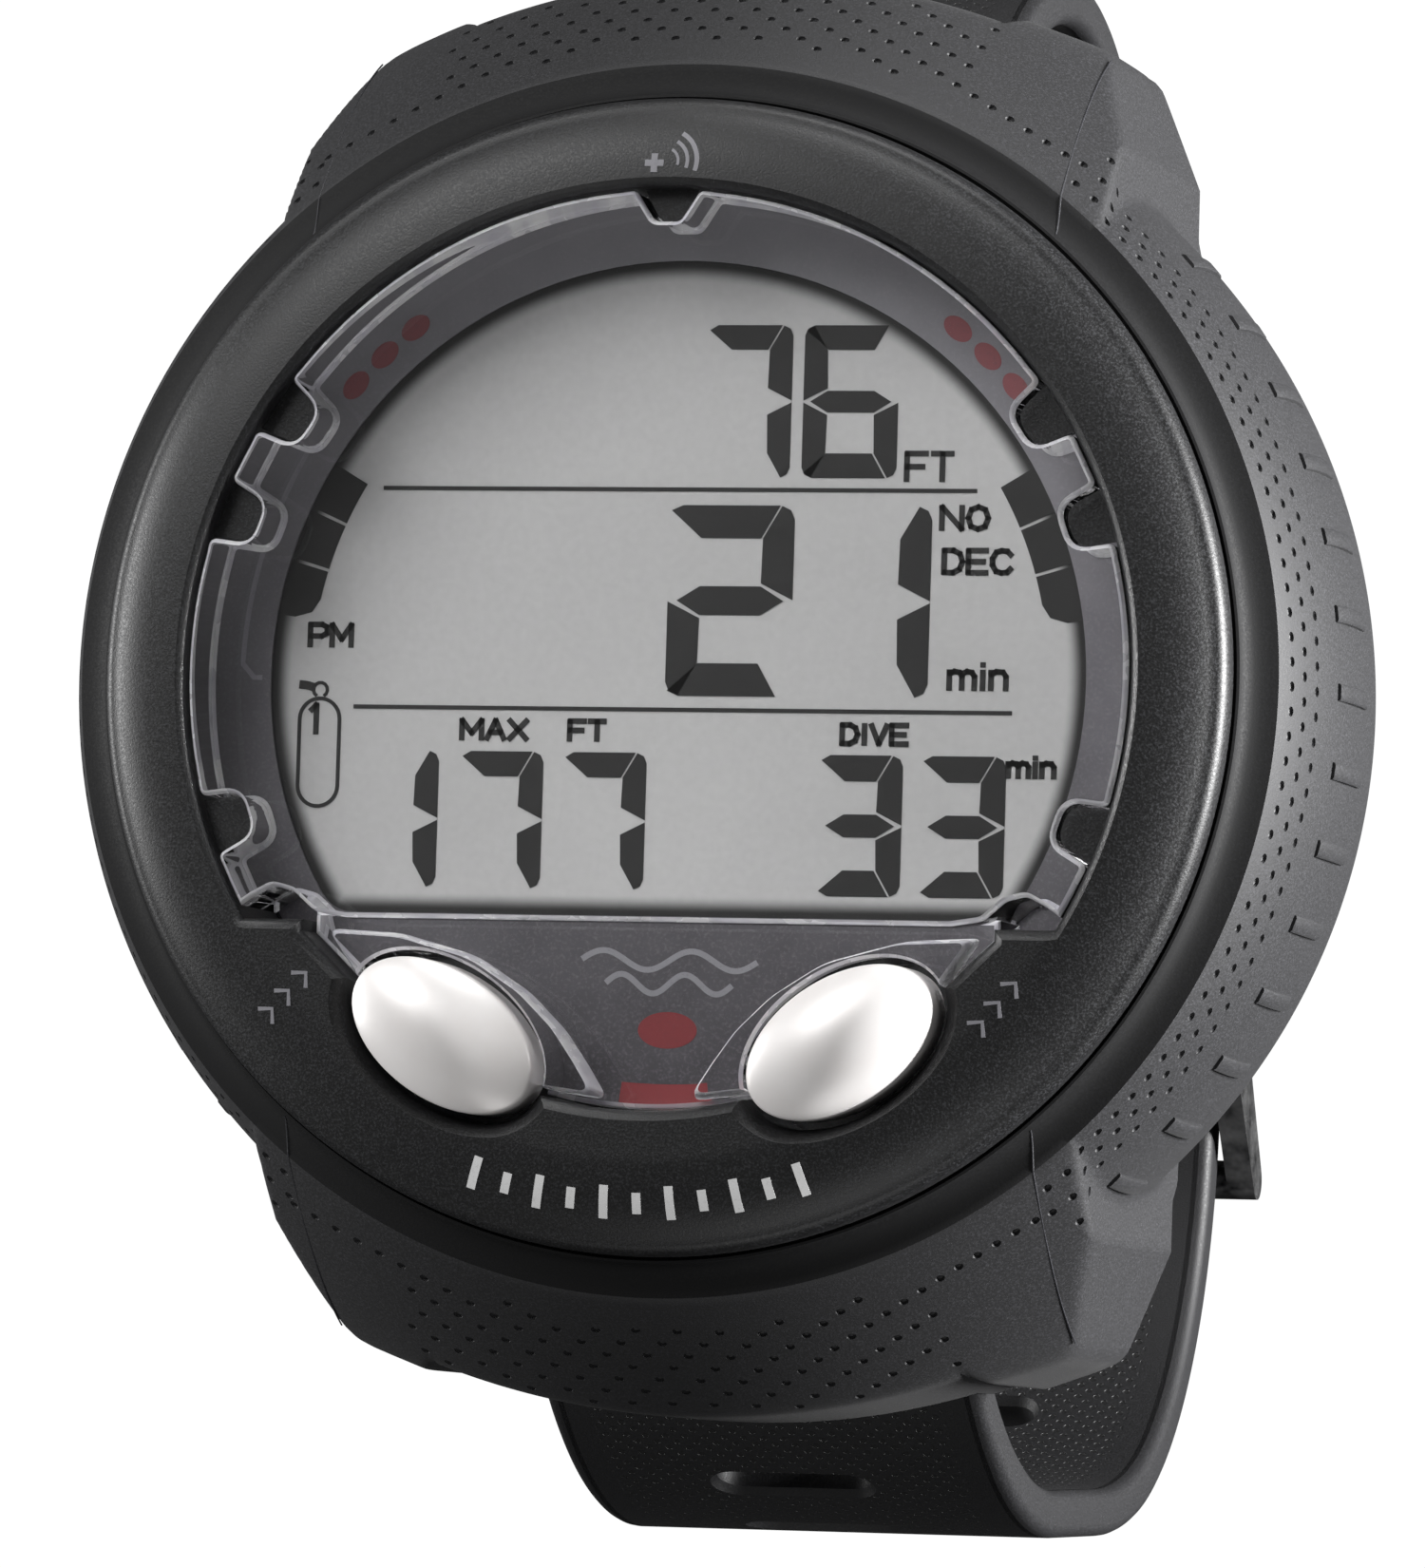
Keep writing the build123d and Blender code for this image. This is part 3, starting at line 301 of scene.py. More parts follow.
@dataclass(frozen=True)
class ReflectiveDisplay(Finish):
    """Reflective liquid-crystal glass: even grey, with a painted shadow of the mask as a soft dark margin
    inside the printed window.
    """

    window_r: float = 24.2
    cut_y: float = -13.6

    def dress(self, tree, shader, where) -> None:
        """The painted shadow comes from the distance to the window's edge: to its circle or to its straight
        cut.
        """
        level = {0: where, 1: (1, 1, 0)}
        flat = add_node(tree, "ShaderNodeVectorMath", level, operation="MULTIPLY").outputs[0]
        out = add_node(tree, "ShaderNodeVectorMath", {0: flat}, operation="LENGTH").outputs["Value"]
        height = add_node(tree, "ShaderNodeSeparateXYZ", {0: where}).outputs[1]
        to_circle = reckon(tree, "SUBTRACT", self.window_r * MM, out)
        to_cut = reckon(tree, "SUBTRACT", height, self.cut_y * MM)
        edge = reckon(tree, "MINIMUM", to_circle, to_cut)
        lit = remap(tree, edge, 0.25 * MM, 1.25 * MM, smooth=True)
        grain = noise(tree, where, 0.5)
        grey = blend_colours(tree, remap(tree, grain, 0.3, 0.7), self.colour, "c6c6c6")
        # Painted shadow: near black 141414 at the window's edge, where the mask's shadow falls on the glass.
        tree.links.new(blend_colours(tree, lit, "141414", grey), shader.inputs["Base Color"])
        tree.links.new(remap(tree, grain, 0.3, 0.7, 0.38, 0.46), shader.inputs["Roughness"])


@dataclass(frozen=True)
class Metal(Finish):
    """Bead-blasted or turned metal: soft highlights broken by very fine pits."""

    gloss: tuple[float, float] = (0.3, 0.42)
    grain_mm: float = 0.12
    bump_mm: float = 0.004
    metallic: float = 1.0

    def dress(self, tree, shader, where) -> None:
        """Even colour with roughness and bump from fine noise."""
        fine = noise(tree, where, self.grain_mm)
        cloud = noise(tree, where, 2.5, 3.0)
        lighter = blend_colours(tree, remap(tree, cloud, 0.3, 0.7, 0.0, 0.25), self.colour, "ffffff")
        tree.links.new(lighter, shader.inputs["Base Color"])
        tree.links.new(remap(tree, fine, 0.3, 0.7, *self.gloss), shader.inputs["Roughness"])
        add_bump(tree, shader, fine, 0.4, self.bump_mm)
        shader.inputs["Metallic"].default_value = self.metallic


@dataclass(frozen=True)
class PrintInk(Finish):
    """Pad-printed ink: flat, slightly worn, so its edge tone varies a little."""

    worn: str = "808080"

    def dress(self, tree, shader, where) -> None:
        """Ink worn thin in fine specks."""
        specks = noise(tree, where, 0.25)
        tree.links.new(blend_colours(tree, remap(tree, specks, 0.55, 0.8, 0.0, 0.5), self.colour, self.worn),
                       shader.inputs["Base Color"])
        shader.inputs["Roughness"].default_value = 0.5


# Moulded: name, colour, fleck, grain, where flecks start, gloss, bump, sheen.
BEZEL_PLASTIC = MouldedPolymer("polycarbonate_spark_eroded", "111112", "333437", 0.14, 0.5, (0.36, 0.56),
                               0.03)
BOOT_RUBBER = MouldedPolymer("silicone_rubber_moulded", "19191b", "303034", 0.15, 0.5, (0.5, 0.68), 0.02,
                             0.03)
# Painted shade: the collar's rubber, darker and less specular, stands in for the shade in the groove beside
# the bezel.
COLLAR_PAINTED_SHADE = MouldedPolymer("silicone_rubber_collar_painted_shade", "0b0b0c", "151517", 0.15, 0.5, (0.6, 0.75), 0.01,
                               specular=0.25)
BOOT_SEAM = MouldedPolymer("silicone_rubber_flash", "2c2c30", "3a3a3e", 0.15, 0.5, (0.4, 0.5), 0.01)
STRAP_RUBBER = StrapRubber("polyurethane_rubber_pitted", "101012")
CASE_PLASTIC = MouldedPolymer("glass_filled_nylon", "1d1d1f", "3c3c40", 0.2, 0.5, (0.45, 0.6), 0.02)
HATCH_PLASTIC = MouldedPolymer("acetal_matte", "222225", "3c3c40", 0.2, 0.5, (0.4, 0.55), 0.015)
WHITE_PLASTIC = MouldedPolymer("abs_white", "d8d8d4", "efefec", 0.3, 0.5, (0.4, 0.5), 0.01)
BOARD_MASK = MouldedPolymer("solder_mask_green", "0f4a2a", "1c6a40", 0.4, 0.5, (0.25, 0.4), 0.01)
CHIP_EPOXY = MouldedPolymer("epoxy_black", "19191a", "333335", 0.15, 0.5, (0.4, 0.6), 0.01)
SEAL_NITRILE = MouldedPolymer("nitrile_rubber", "121213", "2a2a2c", 0.15, 0.5, (0.35, 0.5), 0.01)
BANDED_RUBBER = MouldedPolymer("elastomer_banded", "57575c", "8a8a90", 0.2, 0.5, (0.5, 0.6), 0.01)
LED_EPOXY = MouldedPolymer("epoxy_red", "b4271e", "d8564a", 0.4, 0.5, (0.15, 0.25), 0.005)
DIFFUSER = MouldedPolymer("acrylic_milky", "dfe4e6", "ffffff", 0.5, 0.5, (0.3, 0.4), 0.005)
# Painted highlight: a pale finish for the lens's bright edge reflections.
LENS_EDGE_HIGHLIGHT = PaintedEdgeHighlight("polycarbonate_edge_painted_highlight", "e2e0ea")
LENS_CLEAR = ClearPolycarbonate("polycarbonate_clear", "fbfbfb")
MASK_FILM = PrintedFilm("film_screen_printed", "8b898f")
DISPLAY = ReflectiveDisplay("display_glass_reflective", "c0c0c0")
# Metal: name, colour, gloss, grain, bump, share of metal.
PEARL = Metal("nickel_pearl_satin", "f0ecea", (0.34, 0.42), 0.1, 0.003, 0.2)
DARK_STEEL = Metal("steel_black_coated", "1f1f21", (0.35, 0.5))
STAINLESS = Metal("stainless_turned", "a3a3a3", (0.22, 0.34))
CELL_STEEL = Metal("steel_nickel_plated", "b9b9b8", (0.2, 0.3))
BRASS = Metal("brass_plain", "c2a04e", (0.25, 0.35))
GOLD = Metal("gold_plated", "d9ab52", (0.18, 0.28))
DISPLAY_INK = PrintInk("liquid_crystal_dark", "0a0a0a", "0e0e0e")
WHITE_INK = PrintInk("ink_white", "f1f1f1", "c9c9c9")
GREY_INK = PrintInk("ink_grey", "8d8c92", "6f6e74")
RED_INK = PrintInk("ink_red", "7d2026", "652027")
FADED_RED = PrintInk("ink_red_faded", "8b4a4f", "6e4a50")

# The CAD's strap halves are replaced below; its keepers have no "strap" map, so they take the boot's rubber.
SLOT_FINISH: dict[str, Finish] = {
    "boot_rubber": BOOT_RUBBER, "strap_rubber": BOOT_RUBBER, "bezel_plastic": BEZEL_PLASTIC,
    "case_plastic": CASE_PLASTIC, "hatch_plastic": HATCH_PLASTIC, "holder_plastic": WHITE_PLASTIC,
    "lens_clear": LENS_CLEAR, "mask_film": MASK_FILM, "display_glass": DISPLAY, "diffuser": DIFFUSER,
    "connector_rubber": BANDED_RUBBER, "circuit_board": BOARD_MASK, "chip_plastic": CHIP_EPOXY,
    "led_clear": LED_EPOXY, "brass_disc": BRASS, "cell_steel": CELL_STEEL, "gold_contact": GOLD,
    "stainless": STAINLESS, "seal_rubber": SEAL_NITRILE, "button_satin": PEARL, "buckle_steel": DARK_STEEL,
}


# ---- meshes ------------------------------------------------------------------------------------------
def volume_sign(points: np.ndarray, faces: Sequence[Sequence[int]]) -> float:
    """Sign of the volume that the faces enclose, as fans of triangles from each face's first corner."""
    total = 0.0
    for size in {len(f) for f in faces}:
        same = np.array([f for f in faces if len(f) == size])
        for step in range(1, size - 1):
            a, b, c = points[same[:, 0]], points[same[:, step]], points[same[:, step + 1]]
            total += np.einsum("ij,ij->", a, np.cross(b, c))
    return float(np.sign(total)) or 1.0


def make_mesh(name: str, points: np.ndarray, faces: Sequence[Sequence[int]]) -> bpy.types.Object:
    """Make an object from points in millimetres and faces, turned to point outwards.

    Args:
        name: the object's name.
        points: N by 3 array.
        faces: lists of corner numbers.
    Returns:
        The linked object.
    """
    if volume_sign(points, faces) < 0:
        faces = [list(f)[::-1] for f in faces]
    mesh = bpy.data.meshes.new(name)
    mesh.from_pydata((points * MM).tolist(), [], [list(map(int, f)) for f in faces])
    mesh.update()
    made = bpy.data.objects.new(name, mesh)
    bpy.context.scene.collection.objects.link(made)
    return made


def grid_faces(rows: int, columns: int, wrap_rows: bool, wrap_columns: bool) -> list[list[int]]:
    """Quads of a grid of rows by columns, joined round where it wraps.

    Where the columns wrap and the rows don't, one face closes each end.
    """
    i, j = np.meshgrid(np.arange(rows if wrap_rows else rows - 1),
                       np.arange(columns if wrap_columns else columns - 1), indexing="ij")
    up, on = (i + 1) % rows, (j + 1) % columns
    corners = [i * columns + j, up * columns + j, up * columns + on, i * columns + on]
    faces = np.stack(corners, -1).reshape(-1, 4).tolist()
    if not wrap_rows and wrap_columns:
        faces.append(list(range(columns)))
        faces.append(list(range((rows - 1) * columns, rows * columns))[::-1])
    return faces


def grid_mesh(name: str, grid: np.ndarray, wrap_rows: bool = False) -> bpy.types.Object:
    """Closed surface from a grid of points (rows, columns, 3) that wraps round its columns."""
    rows, columns, _ = grid.shape
    return make_mesh(name, grid.reshape(-1, 3), grid_faces(rows, columns, wrap_rows, True))


def grown(outline: np.ndarray, amount: float) -> np.ndarray:
    """A closed counter-clockwise outline moved outwards.

    Each corner goes along the mean of its edges' normals.
    """
    edge = np.roll(outline, -1, 0) - outline
    edge /= np.linalg.norm(edge, axis=1, keepdims=True) + 1e-12
    out = np.stack([edge[:, 1], -edge[:, 0]], 1)
    mean = out + np.roll(out, 1, 0)
    mean /= np.maximum(np.einsum("ij,ij->i", mean, out)[:, None], 0.6)
    return outline + amount * mean


def prism(name: str, outline: np.ndarray, levels: Sequence[tuple[float, float]], axis: str = "Z"):
    """Solid over a closed outline. Each level is (growth, height), so edges can be rounded or flared.

    Args:
        name: the object's name.
        outline: N by 2 points, counter-clockwise.
        levels: pairs of outline growth and height, bottom to top.
        axis: Z for heights along Z, X for an outline in YZ and heights along X.
    Returns:
        The object.
    """
    sections = [(grown(outline, growth) if growth else outline, height) for growth, height in levels]
    return stack(name, sections, axis)


def stack(name: str, sections: Sequence[tuple[np.ndarray, float]], axis: str = "Z") -> bpy.types.Object:
    """Solid through closed flat sections with equal numbers of points, each at its own height."""
    rings = []
    for flat, height in sections:
        tall = np.full((len(flat), 1), height)
        rings.append(np.hstack([flat, tall] if axis == "Z" else [tall, flat]))
    return grid_mesh(name, np.array(rings))


def arc(centre: Sequence[float], radius: float, start: float, end: float, count: int) -> np.ndarray:
    """Points on a circle from start to end degrees."""
    a = np.radians(np.linspace(start, end, count))
    return np.stack([centre[0] + radius * np.cos(a), centre[1] + radius * np.sin(a)], 1)


def ellipse(centre: Sequence[float], half_long: float, half_short: float, slope: float, count: int = 96):
    """Closed ellipse with its long axis sloped by slope degrees."""
    a = np.linspace(0, 2 * np.pi, count, endpoint=False)
    turn = np.radians(slope)
    u, v = half_long * np.cos(a), half_short * np.sin(a)
    return np.stack([centre[0] + u * np.cos(turn) - v * np.sin(turn),
                     centre[1] + u * np.sin(turn) + v * np.cos(turn)], 1)


def rounded(points: np.ndarray, radii: Sequence[float], count: int = 7) -> np.ndarray:
    """Closed outline with corners filleted.

    Each corner with a radius becomes a curve of count points that leaves both its edges tangent to them.
    """
    out: list[np.ndarray] = []
    total = len(points)
    for k, here in enumerate(points):
        before, after = points[k - 1], points[(k + 1) % total]
        if radii[k] <= 0:
            out.append(here[None])
            continue
        to_before, to_after = before - here, after - here
        reach = min(np.linalg.norm(to_before), np.linalg.norm(to_after)) * 0.48
        to_before /= np.linalg.norm(to_before)
        to_after /= np.linalg.norm(to_after)
        half = 0.5 * np.arccos(np.clip(to_before @ to_after, -1, 1))
        step = min(radii[k] / np.tan(half), reach)
        t = np.linspace(0, 1, count)[:, None]
        first, last = here + to_before * step, here + to_after * step
        out.append((1 - t) ** 2 * first + 2 * t * (1 - t) * here + t ** 2 * last)
    return np.vstack(out)


def carve(target: bpy.types.Object, tool: bpy.types.Object, operation: str = "DIFFERENCE") -> None:
    """Subtract tool from target, or with "UNION" join it on, in place; then remove tool."""
    cut = target.modifiers.new("cut", "BOOLEAN")
    cut.operation, cut.solver, cut.object = operation, "MANIFOLD", tool
    graph = bpy.context.evaluated_depsgraph_get()
    made = bpy.data.meshes.new_from_object(target.evaluated_get(graph))
    target.modifiers.clear()
    old, target.data = target.data, made
    made.name = target.name
    bpy.data.meshes.remove(old)
    bpy.data.objects.remove(tool)


def settle(piece: bpy.types.Object, finish: Finish, body: str, replaces: Sequence[str] = (),
           sharp: float = SHARP) -> bpy.types.Object:
    """Shade a piece, give it its material, and hang it on its CAD body.

    Args:
        piece: the finished mesh.
        finish: its surface finish.
        body: the CAD body that it moves with.
        replaces: CAD nodes that it stands for.
        sharp: angle past which an edge is shaded sharp.
    Returns:
        The piece.
    """
    mesh = piece.data
    area = np.zeros(len(mesh.polygons))
    mesh.polygons.foreach_get("area", area)
    normal = np.zeros(3 * len(mesh.polygons))
    mesh.polygons.foreach_get("normal", normal)
    mesh.polygons.foreach_set("use_smooth", (area < LARGE_FACE * MM ** 2) & (np.abs(normal[2::3]) < LEVEL))
    mesh.set_sharp_from_angle(angle=sharp)
    mesh.materials.clear()
    mesh.materials.append(finish.material())
    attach(piece, body)
    if replaces:
        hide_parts(*replaces)
    log.info("%s: %d faces", piece.name, len(mesh.polygons))
    return piece


def join(pieces: Sequence[bpy.types.Object], name: str) -> bpy.types.Object:
    """Join separate meshes into one object with that name."""
    whole = bmesh.new()
    for piece in pieces:
        whole.from_mesh(piece.data)
        bpy.data.objects.remove(piece)
    mesh = bpy.data.meshes.new(name)
    whole.to_mesh(mesh)
    whole.free()
    made = bpy.data.objects.new(name, mesh)
    bpy.context.scene.collection.objects.link(made)
    return made


def tube(name: str, path: np.ndarray, radius: float, sides: int = 8) -> bpy.types.Object:
    """Round bead along a path: a circle carried square to the path's direction."""
    along = np.gradient(path, axis=0)
    along /= np.linalg.norm(along, axis=1, keepdims=True)
    side = np.cross(along, (0.0, 0.0, 1.0))
    side /= np.linalg.norm(side, axis=1, keepdims=True)
    up = np.cross(side, along)
    a = np.linspace(0, 2 * np.pi, sides, endpoint=False)[None, :, None]
    return grid_mesh(name, path[:, None] + radius * (np.cos(a) * side[:, None] + np.sin(a) * up[:, None]))


# ---- shared outlines ---------------------------------------------------------------------------------
@dataclass
class WindowPlan:
    """Plan of the lens, the mask and the button wells, from the front."""

    lens_r: float = 27.7
    cut_y: float = -14.2
    lower_r: float = 24.8
    lower_side: float = 20.2
    lower_shoulder: float = 16.9
    notch_r: float = 1.25
    notch_tip: float = 25.3
    notch_angles: tuple = (-19.0, 19.5, 33.5, 90.0, 146.5, 160.5, 199.0)
    button_x: float = 11.7
    button_y: float = -20.9
    button_half: tuple[float, float] = (6.0, 3.65)
    button_slope: float = 33.0
    well_gap: float = 0.45
    upturn: tuple = ((-23.4, -13.1), (-22.2, -12.45), (-21.0, -12.75), (-19.7, -13.9), (-17.8, -14.2))
    upturn_radii: tuple = (0.4, 0.8, 1.0, 1.2, 1.2)
    corner_y: float = -13.6
    mouth_gap: float = 5.6

    def notch(self, angle: float, gap: float = 0.0) -> tuple[np.ndarray, list[float]]:
        """Corners and fillet radii of a notch, mouth to tip to mouth, shrunk by gap."""
        wide = 1.9 if angle == 90.0 else 1.75
        narrow, tip, round_tip = (0.75, 25.9, 0.6) if angle == 90.0 else (self.notch_r, self.notch_tip, 1.15)
        flat = np.array([(self.lens_r, -wide + gap), (tip + gap, -narrow + gap),
                         (tip + gap, narrow - gap), (self.lens_r, wide - gap)])
        turn = np.radians(angle)
        spun = flat @ np.array([[np.cos(turn), np.sin(turn)], [-np.sin(turn), np.cos(turn)]])
        return spun, [0.5, round_tip, round_tip, 0.5]

    def window(self) -> np.ndarray:
        """Raised window: a circle with notches, its lower edge cut straight and turned up at each end."""
        corner = np.degrees(np.arcsin(self.corner_y / self.lens_r))
        points, radii = [], []
        start = corner
        for angle in (*self.notch_angles, 180 - corner):
            last = angle == 180 - corner
            gap = 0.0 if last else self.mouth_gap
            count = max(3, int(abs(angle - gap - start) / 1.2))
            run = arc((0, 0), self.lens_r, start, angle - gap, count)
            points.append(run)
            radii += [0.0] * len(run)
            if not last:
                corners, rounds = self.notch(angle)
                points.append(corners)
                radii += rounds
                start = angle + gap
        wave = np.array(self.upturn)
        points += [wave, wave[::-1] * (-1, 1)]
        radii += [*self.upturn_radii, *self.upturn_radii[::-1]]
        return rounded(np.vstack(points), radii)

    def lower(self, grow: float = 0.0) -> np.ndarray:
        """Stepped lower part: straight top, sloped shoulders and an arc at the bottom."""
        radius = self.lower_r + grow
        shoulder = self.lower_shoulder + grow
        low = -np.sqrt(radius ** 2 - shoulder ** 2)
        side, top = self.lower_side + grow, self.cut_y + 0.5
        end = np.degrees(np.arctan2(low, shoulder))
        bottom = arc((0, 0), radius, -180 - end, end, 60)
        return np.vstack([bottom, [(side, top - 1.3), (side, top), (-side, top), (-side, top - 1.3)]])

    def pocket(self, grow: float) -> np.ndarray:
        """Circle cut straight at the bottom, for the housing's pocket and the display's opening."""
        radius, cut = self.lens_r + grow, self.cut_y - grow
        start = np.degrees(np.arcsin(cut / radius))
        return arc((0, 0), radius, start, 180 - start, 240)

    def wells(self, grow: float) -> list[np.ndarray]:
        """The two button wells, left then right."""
        a, b = self.button_half
        return [ellipse((side * self.button_x, self.button_y), a + grow, b + grow, side * self.button_slope)
                for side in (-1, 1)]


PLAN = WindowPlan()


# ---- boot --------------------------------------------------------------------------------------------
@dataclass
class Boot:
    """Rubber boot: a flared ring with two lugs, dimpled on its side wall and lug fronts.

    Profiles are pairs of radius and height. lug_cut and lug_arch are the corner of a lug's outline, from its
    side to its cover, and the fall of the cover's arch at its ends.
    """

    collar: tuple = ((33.55, 29.9), (33.62, 29.5), (33.85, 29.15), (34.2, 28.9), (34.6, 28.7), (35.05, 28.54))
    crease: tuple[float, float] = (35.5, 28.4)
    wall: tuple = ((35.5, 28.4), (37.1, 23.4), (37.7, 16.5), (37.0, 8.0), (34.6, 0.9))
    flare: tuple = ((35.5, 28.4), (39.3, 23.6), (43.4, 16.0), (44.6, 8.0))
    bottom_z: float = 0.9
    lug_bottom_z: float = 2.1
    lug_half_x: float = 24.4
    lug_side_y: float = 31.4
    lug_cut: tuple = ((24.4, 31.4), (22.0, 37.4), (21.5, 38.05), (20.5, 38.5), (17.0, 39.7), (16.35, 39.55),
                      (16.1, 38.9))
    lug_corners: tuple = ((24.4, 31.4), (22.0, 37.4), (16.25, 39.3))
    lug_arch: float = 2.7
    cover_y: float = 42.1
    cover_half_x: float = 15.8
    inner: tuple = ((32.05, 0.9), (32.05, 29.45), (33.32, 29.45), (33.32, 29.85), (33.4, 29.95))
    under_r: tuple[float, float] = (34.3, 34.0)
    blend: float = 0.5
    columns: int = 900
    rows: int = 54
    pin: tuple[float, float] = (35.9, 5.6)
    knuckle_r: float = 3.05
    pocket_half_x: float = 13.85
    past_y: float = 46.5
    bore_r: float = 1.0
    bore_half_x: float = 19.2
    dimple_r: tuple[float, float, float] = (0.31, 0.27, 0.3)
    ring_heights: tuple = ((27.2, 0.0), (25.9, 1.05), (24.4, -0.1))
    ring_pitch: float = 2.25
    lattice: tuple[float, float] = (2.45, 0.68)
    lattice_start: tuple[float, float] = (21.7, 30.49)
    lattice_rows: int = 17
    lattice_slant: float = 1.1
    seam_x: float = 22.05
    seam_y: tuple[float, float] = (25.5, 37.2)
    grip_z: tuple[float, float] = (14.6, 21.2)
    grip_pitch: float = 6.9
    grip_lift: float = 0.3

    def fitted(self, knots: tuple, z: np.ndarray) -> np.ndarray:
        """Radius at height z on the polynomial that passes through every knot (radius, height)."""
        r, h = np.array(knots).T
        return np.polyval(np.polyfit(h - 15, r, len(h) - 1), z - 15)

    def lug_reach(self, angle: np.ndarray) -> np.ndarray:
        """Distance from the axis to the lug's outline in each direction; one quarter serves all four."""
        x = np.linspace(self.cover_half_x, 0, 40)
        arch = np.stack([x, self.cover_y - self.lug_arch * (x / self.cover_half_x) ** 2], 1)
        side = np.stack([np.full(40, self.lug_half_x), np.linspace(0, self.lug_side_y, 40)], 1)
        cut = np.array(self.lug_cut)
        fine = np.linspace(0, len(cut) - 1, 90)
        cut = np.stack([np.interp(fine, range(len(cut)), cut[:, k]) for k in (0, 1)], 1)
        outline = np.vstack([side, cut[1:], arch])
        bearing = np.degrees(np.arctan2(outline[:, 1], outline[:, 0]))
        folded = np.abs(angle) % 180
        folded = np.minimum(folded, 180 - folded)
        return np.interp(folded, np.maximum.accumulate(bearing), np.hypot(*outline.T))

    def radius(self, angle: np.ndarray, z: np.ndarray) -> np.ndarray:
        """Outer radius: the larger of the ring's wall and the lug, softly joined.

        The lug is the smaller of its outline and its flare. Soft larger of a and b is
        (a + b + sqrt((a - b)^2 + k^2)) / 2, and k shrinks to nothing at the crease.
        """
        ring = self.fitted(self.wall, z)
        k = self.blend * np.clip((self.crease[1] - z) / 3, 0.02, 1)
        reach = self.lug_reach(angle)
        flare = self.fitted(self.flare, np.maximum(z, 4.0))
        lug = (reach + flare - np.sqrt((reach - flare) ** 2 + (0.6 * k) ** 2)) / 2
        return (ring + lug + np.sqrt((ring - lug) ** 2 + k ** 2)) / 2

    def point(self, angle: np.ndarray, z: np.ndarray, out: float = 0.0) -> np.ndarray:
        """Point of the outer surface at an angle and a height."""
        r = self.radius(angle, z) + out
        a = np.radians(angle)
        return np.stack([r * np.cos(a), r * np.sin(a), z], -1)

    def shell(self) -> bpy.types.Object:
        """The boot without its pockets: one closed profile at each angle, carried round the axis."""
        angle = np.linspace(-180, 180, self.columns, endpoint=False)
        for x, y in self.lug_corners:
            corner = np.degrees(np.arctan2(y, x))
            for bearing in (corner, 180 - corner, -corner, corner - 180):
                angle[np.argmin(np.abs(angle - bearing))] = bearing
        is_lug = np.clip((self.lug_reach(angle) - 36.6) / 0.8, 0, 1)
        foot = self.bottom_z + (self.lug_bottom_z - self.bottom_z) * is_lug
        t = np.linspace(0, 1, self.rows)[:, None]
        z = self.crease[1] + (foot[None] - self.crease[1]) * t
        wide = self.radius(np.broadcast_to(angle, z.shape), z)
        wide[0] = self.crease[0]
        ring = np.ones_like(angle)
        under = [r * ring for r in self.under_r]
        under_z = [foot, self.bottom_z * ring]
        radii = np.vstack([[r * ring for r, _ in self.collar], wide, under,
                           [r * ring for r, _ in self.inner]])
        heights = np.vstack([[h * ring for _, h in self.collar], z, under_z,
                             [h * ring for _, h in self.inner]])
        a = np.radians(angle)
        return grid_mesh("boot_rubber", np.stack([radii * np.cos(a), radii * np.sin(a), heights], -1), True)

    def pocket(self, side: int) -> bpy.types.Object:
        """Space in a lug for the strap's knuckle, open at the back and outwards, seen along X."""
        y, z = self.pin
        roof = arc((y, z), self.knuckle_r, 11.0, 180.0, 24)
        outline = np.vstack([[(y - self.knuckle_r, -2.0), (self.past_y, -2.0), (self.past_y, 2.8)], roof])
        outline = outline if side > 0 else (outline * (-1, 1))[::-1]
        half = self.pocket_half_x
        return prism("pocket", outline, [(0, -half), (0, half)], "X")

    def dimple_places(self) -> tuple[np.ndarray, np.ndarray]:
        """Angles and heights of the dimples.

        Three staggered rings run round each side wall. Each lug front has a slanted lattice, whole between
        the cover's sides and one band deep beyond them.
        """
        turns = np.arange(-24, 25)
        places = []
        for height, shift in self.ring_heights:
            a = turns * self.ring_pitch + shift
            a = a[np.abs(a) < 53]
            places += [(b, height) for b in a] + [(180 - b, height) for b in a]
        pitch, rise = self.lattice
        knots = np.linspace(28.3, 12, 200)
        reach = self.fitted(self.flare, knots)
        for k in range(self.lattice_rows):
            y = self.lattice_start[1] + rise * k
            x = self.lattice_start[0] - self.lattice_slant * k + pitch * np.arange(-30, 12)
            out = np.hypot(x, y)
            keep = (out > 37.0) & (out < 42.0) & (y < 41.6) & (np.abs(x) < 23)
            keep &= (np.abs(x) < 16.4) | (out < 38.25)
            for side in (1, -1):
                bearing = np.degrees(np.arctan2(side * y, x[keep]))
                places += list(zip(bearing, np.interp(out[keep], reach, knots)))
        angle, z = np.array(places).T
        return angle, z

